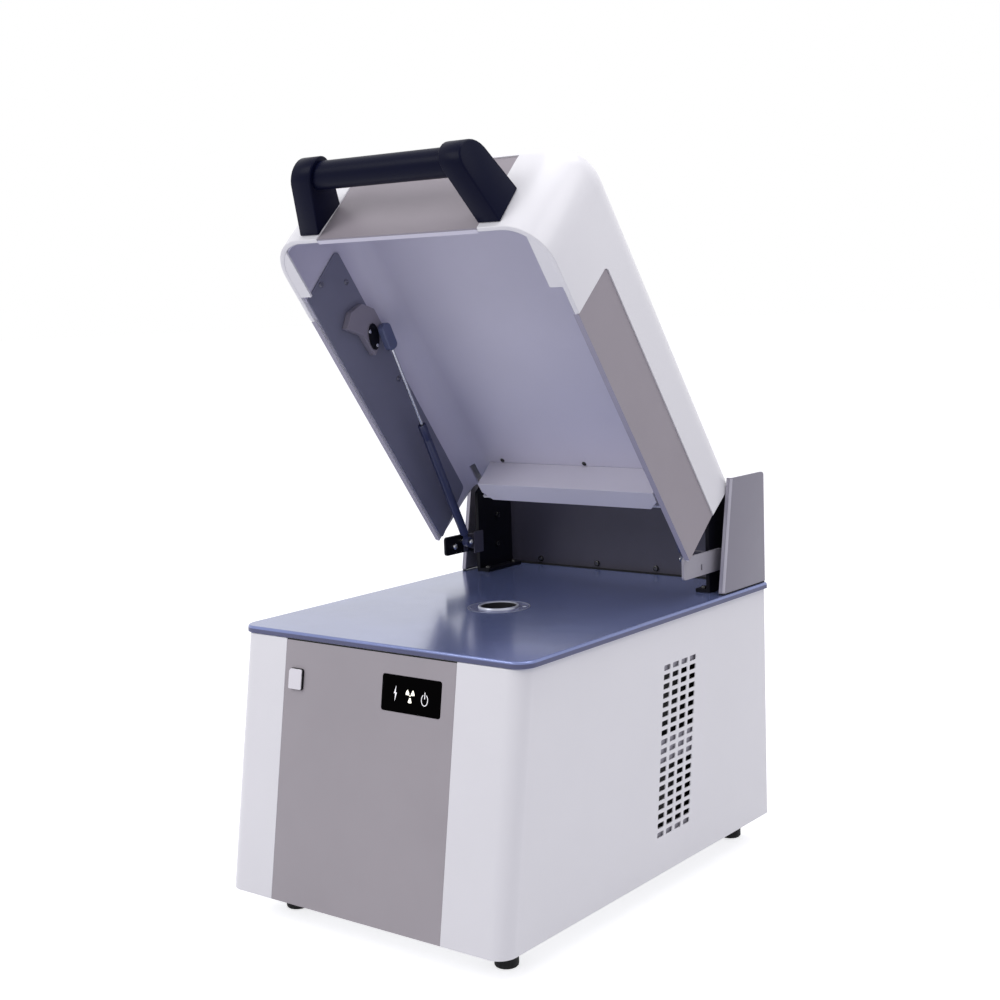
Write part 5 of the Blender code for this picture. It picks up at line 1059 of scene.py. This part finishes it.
def make_liner():
    face = LID_LENGTH - across_front(LID_FRONT_WALL + GAP)
    half = LID_HALF - LID_WALL - GAP
    corner = CAVITY_CORNER - GAP
    top = LINER_ROOF + LINER_WALL
    outer_round, inner_round = LINER_ROUNDS
    outer = lid_form(LINER_RIM, top, half, face, outer_round, corner, JOIN, lambda rise: LINER_REAR)
    inner = lid_form(LINER_RIM - OVERRUN, LINER_ROOF, half - LINER_WALL, face - across_front(LINER_WALL),
                     inner_round, corner - LINER_WALL, JOIN, lambda rise: LINER_REAR - OVERRUN)
    thing = linked("liner_tray", mesh_from("liner_tray", outer))
    combine(thing, [inner], "DIFFERENCE")
    combine(thing, mirrored(lid_box(*LINER_SLOT, (0, top + OVERRUN))), "DIFFERENCE")
    thing.data.transform(LID)
    complete(thing, "liner", "lid", ("lid_liner",))


def make_lid_dress():
    dress("front_inlay", FINE_EDGE)
    dress("rear_flange", FIRM_EDGE)
    down = LID.to_3x3() @ Vector((0, 0, -1))
    heads = [dome_screw(LID @ lid_point(x, FLANGE_SCREW_ALONG, LINER_ROOF), down, *SMALL_SCREW)
             for x in FLANGE_SCREWS]
    piece("flange_screws", merged(heads), "bolt", "lid")
    face = LID_HALF - LID_WALL - GAP - LINER_WALL - GAP - PLATE_THICKNESS
    # Thin strips along the side and front rims, darker than the shell: painted shade on the rim's downward
    # faces
    side_rim_shade = moved(lid_box(*SIDE_RIM_SHADE, RIM_SHADE_RISE), LID)
    for name, side in SIDES:
        dress("side_inlay_" + name, FINE_EDGE)
        dress("inner_plate_" + name, PLATE_EDGE)
        heads = [dome_screw(LID @ lid_point(side * face, *point), (-side, 0, 0), *PLATE_SCREW)
                 for point in PLATE_SCREWS]
        piece("plate_screws_" + name, merged(heads), "plate_bolt", "lid")
        piece("side_rim_shade_" + name, on_side(side_rim_shade, side), "rim", "lid")
    for name, paint, (start, end) in FRONT_RIM_SHADES:
        strip = lid_box(around(0, FRONT_RIM_SHADE_HALF), (LID_LENGTH + start, LID_LENGTH + end), RIM_SHADE_RISE)
        piece(name, moved(strip, LID), paint, "lid")


def make_handle():
    rings = [[LID @ lid_point(side * (HANDLE_REACH - (along - LID_LENGTH) * HANDLE_TOE), along, rise)
              for along, rise in circle(HANDLE_RADIUS, HANDLE_CENTRE, 64)] for side in (-1, 1)]
    piece("handle_grip", stack(rings), "handle", "lid", ("handle_tube",))
    for name, _ in SIDES:
        dress("handle_bracket_" + name, HANDLE_EDGE, 4)


# Bottom and rear

def make_feet():
    for row in ("front", "rear"):
        for name, _ in SIDES:
            dress(f"foot_{row}_{name}", 0.0006)


def make_rear():
    for node, edge in REAR_PARTS:
        dress(node, edge)
    face = REAR - SHELL_WALL - GAP
    heads = [dome_screw((x, face, z), (0, 1, 0), *SMALL_SCREW) for x, z in PANEL_SCREWS]
    heads += [dome_screw((x, face, z), (0, 1, 0), *FAN_SCREW) for x, z in FAN_SCREWS]
    piece("panel_screws", merged(heads), "black_steel", "base")


def make_inside():
    for node in ("beam_window", "optics_block", "shutter_slide", "xray_tube", "detector", "hv_generator",
                 "power_supply", "main_board"):
        repaint(node)


# Stage, light and camera

def shown_to(tree, rays, shown, other, output):
    """Gives the output one shader for the named rays and another one for all others."""
    link = tree.links.new
    path = tree.nodes.new("ShaderNodeLightPath")
    chosen = path.outputs[rays[0]]
    for ray in rays[1:]:
        either = tree.nodes.new("ShaderNodeMath")
        either.operation = "MAXIMUM"
        link(chosen, either.inputs[0])
        link(path.outputs[ray], either.inputs[1])
        chosen = either.outputs["Value"]
    mix = tree.nodes.new("ShaderNodeMixShader")
    link(chosen, mix.inputs["Fac"])
    link(other, mix.inputs[1])
    link(shown, mix.inputs[2])
    end = next(n for n in tree.nodes if n.type == output)
    link(mix.outputs["Shader"], end.inputs["Surface"])


def make_floor():
    mesh = bpy.data.meshes.new("floor")
    reach = 40.0
    corners = [(x, y, 0) for x, y in rectangle(-reach, reach, -reach, reach)]
    mesh.from_pydata(corners, [], [(0, 1, 2, 3)])
    floor = linked("floor", mesh)
    material = bpy.data.materials.new("floor_white")
    material.use_nodes = True
    tree = material.node_tree
    surface = tree.nodes["Principled BSDF"]
    put(surface, {"Base Color": (0.74, 0.74, 0.76, 1), "Roughness": 0.9, "Specular IOR Level": 0.0})
    glow = tree.nodes.new("ShaderNodeEmission")
    put(glow, {"Strength": 0.68})
    add = tree.nodes.new("ShaderNodeAddShader")
    tree.links.new(surface.outputs["BSDF"], add.inputs[0])
    tree.links.new(glow.outputs["Emission"], add.inputs[1])
    shown_to(tree, ("Is Camera Ray", "Is Glossy Ray"), add.outputs["Shader"], surface.outputs["BSDF"],
             "OUTPUT_MATERIAL")
    mesh.materials.append(material)


def make_world():
    world = bpy.data.worlds.new("studio")
    bpy.context.scene.world = world
    world.use_nodes = True
    tree = world.node_tree
    ambient = tree.nodes["Background"]
    put(ambient, {"Color": (0.93, 0.92, 1.0, 1), "Strength": 0.60})
    white = tree.nodes.new("ShaderNodeBackground")
    put(white, {"Color": (1, 1, 1, 1), "Strength": 1.0})
    shown_to(tree, ("Is Camera Ray", "Is Glossy Ray", "Is Transmission Ray"), white.outputs["Background"],
             ambient.outputs["Background"], "OUTPUT_WORLD")


def lamp(name, place, target, size, power, colour=(1, 1, 1)):
    data = bpy.data.lights.new(name, "AREA")
    data.shape = "DISK"
    data.size = size
    data.energy = power
    data.color = colour
    thing = linked(name, data)
    thing.location = place
    thing.rotation_euler = (Vector(target) - Vector(place)).to_track_quat("-Z", "Y").to_euler()


def make_lights():
    lamp("key", (-1.1, -2.1, 1.9), (0, 0, 0.35), 1.4, 22)
    lamp("top", (0.2, 0.3, 2.4), (0, 0.1, 0.4), 1.6, 16)
    lamp("side", (1.0, -0.05, 1.45), (0.19, -0.05, 0.78), 0.7, 3.1)


def make_camera():
    data = bpy.data.cameras.new("camera")
    data.sensor_width = 36
    data.lens = 57.0096
    camera = linked("camera", data)
    turn, rise, roll = (math.radians(degrees) for degrees in (37.71, 7.14, -2.02))
    back = Vector((math.sin(turn) * math.cos(rise), -math.cos(turn) * math.cos(rise), math.sin(rise)))
    right = (-back).cross(Vector((0, 0, 1))).normalized()
    up = right.cross(-back)
    across = math.cos(roll) * right + math.sin(roll) * up
    above = -math.sin(roll) * right + math.cos(roll) * up
    aim = Matrix((across, above, back)).transposed().to_4x4()
    camera.matrix_world = Matrix.Translation((1.111, -1.4367, 0.678)) @ aim
    bpy.context.scene.camera = camera


make_housing()
make_vent_shade_and_rails()
make_deck()
make_stage()
make_front()
make_riser()
make_hinges()
make_struts()
make_lid_shell()
make_liner()
make_lid_dress()
make_handle()
make_feet()
make_rear()
make_inside()
make_floor()
make_world()
make_lights()
make_camera()
bpy.context.scene.view_settings.view_transform = "Standard"
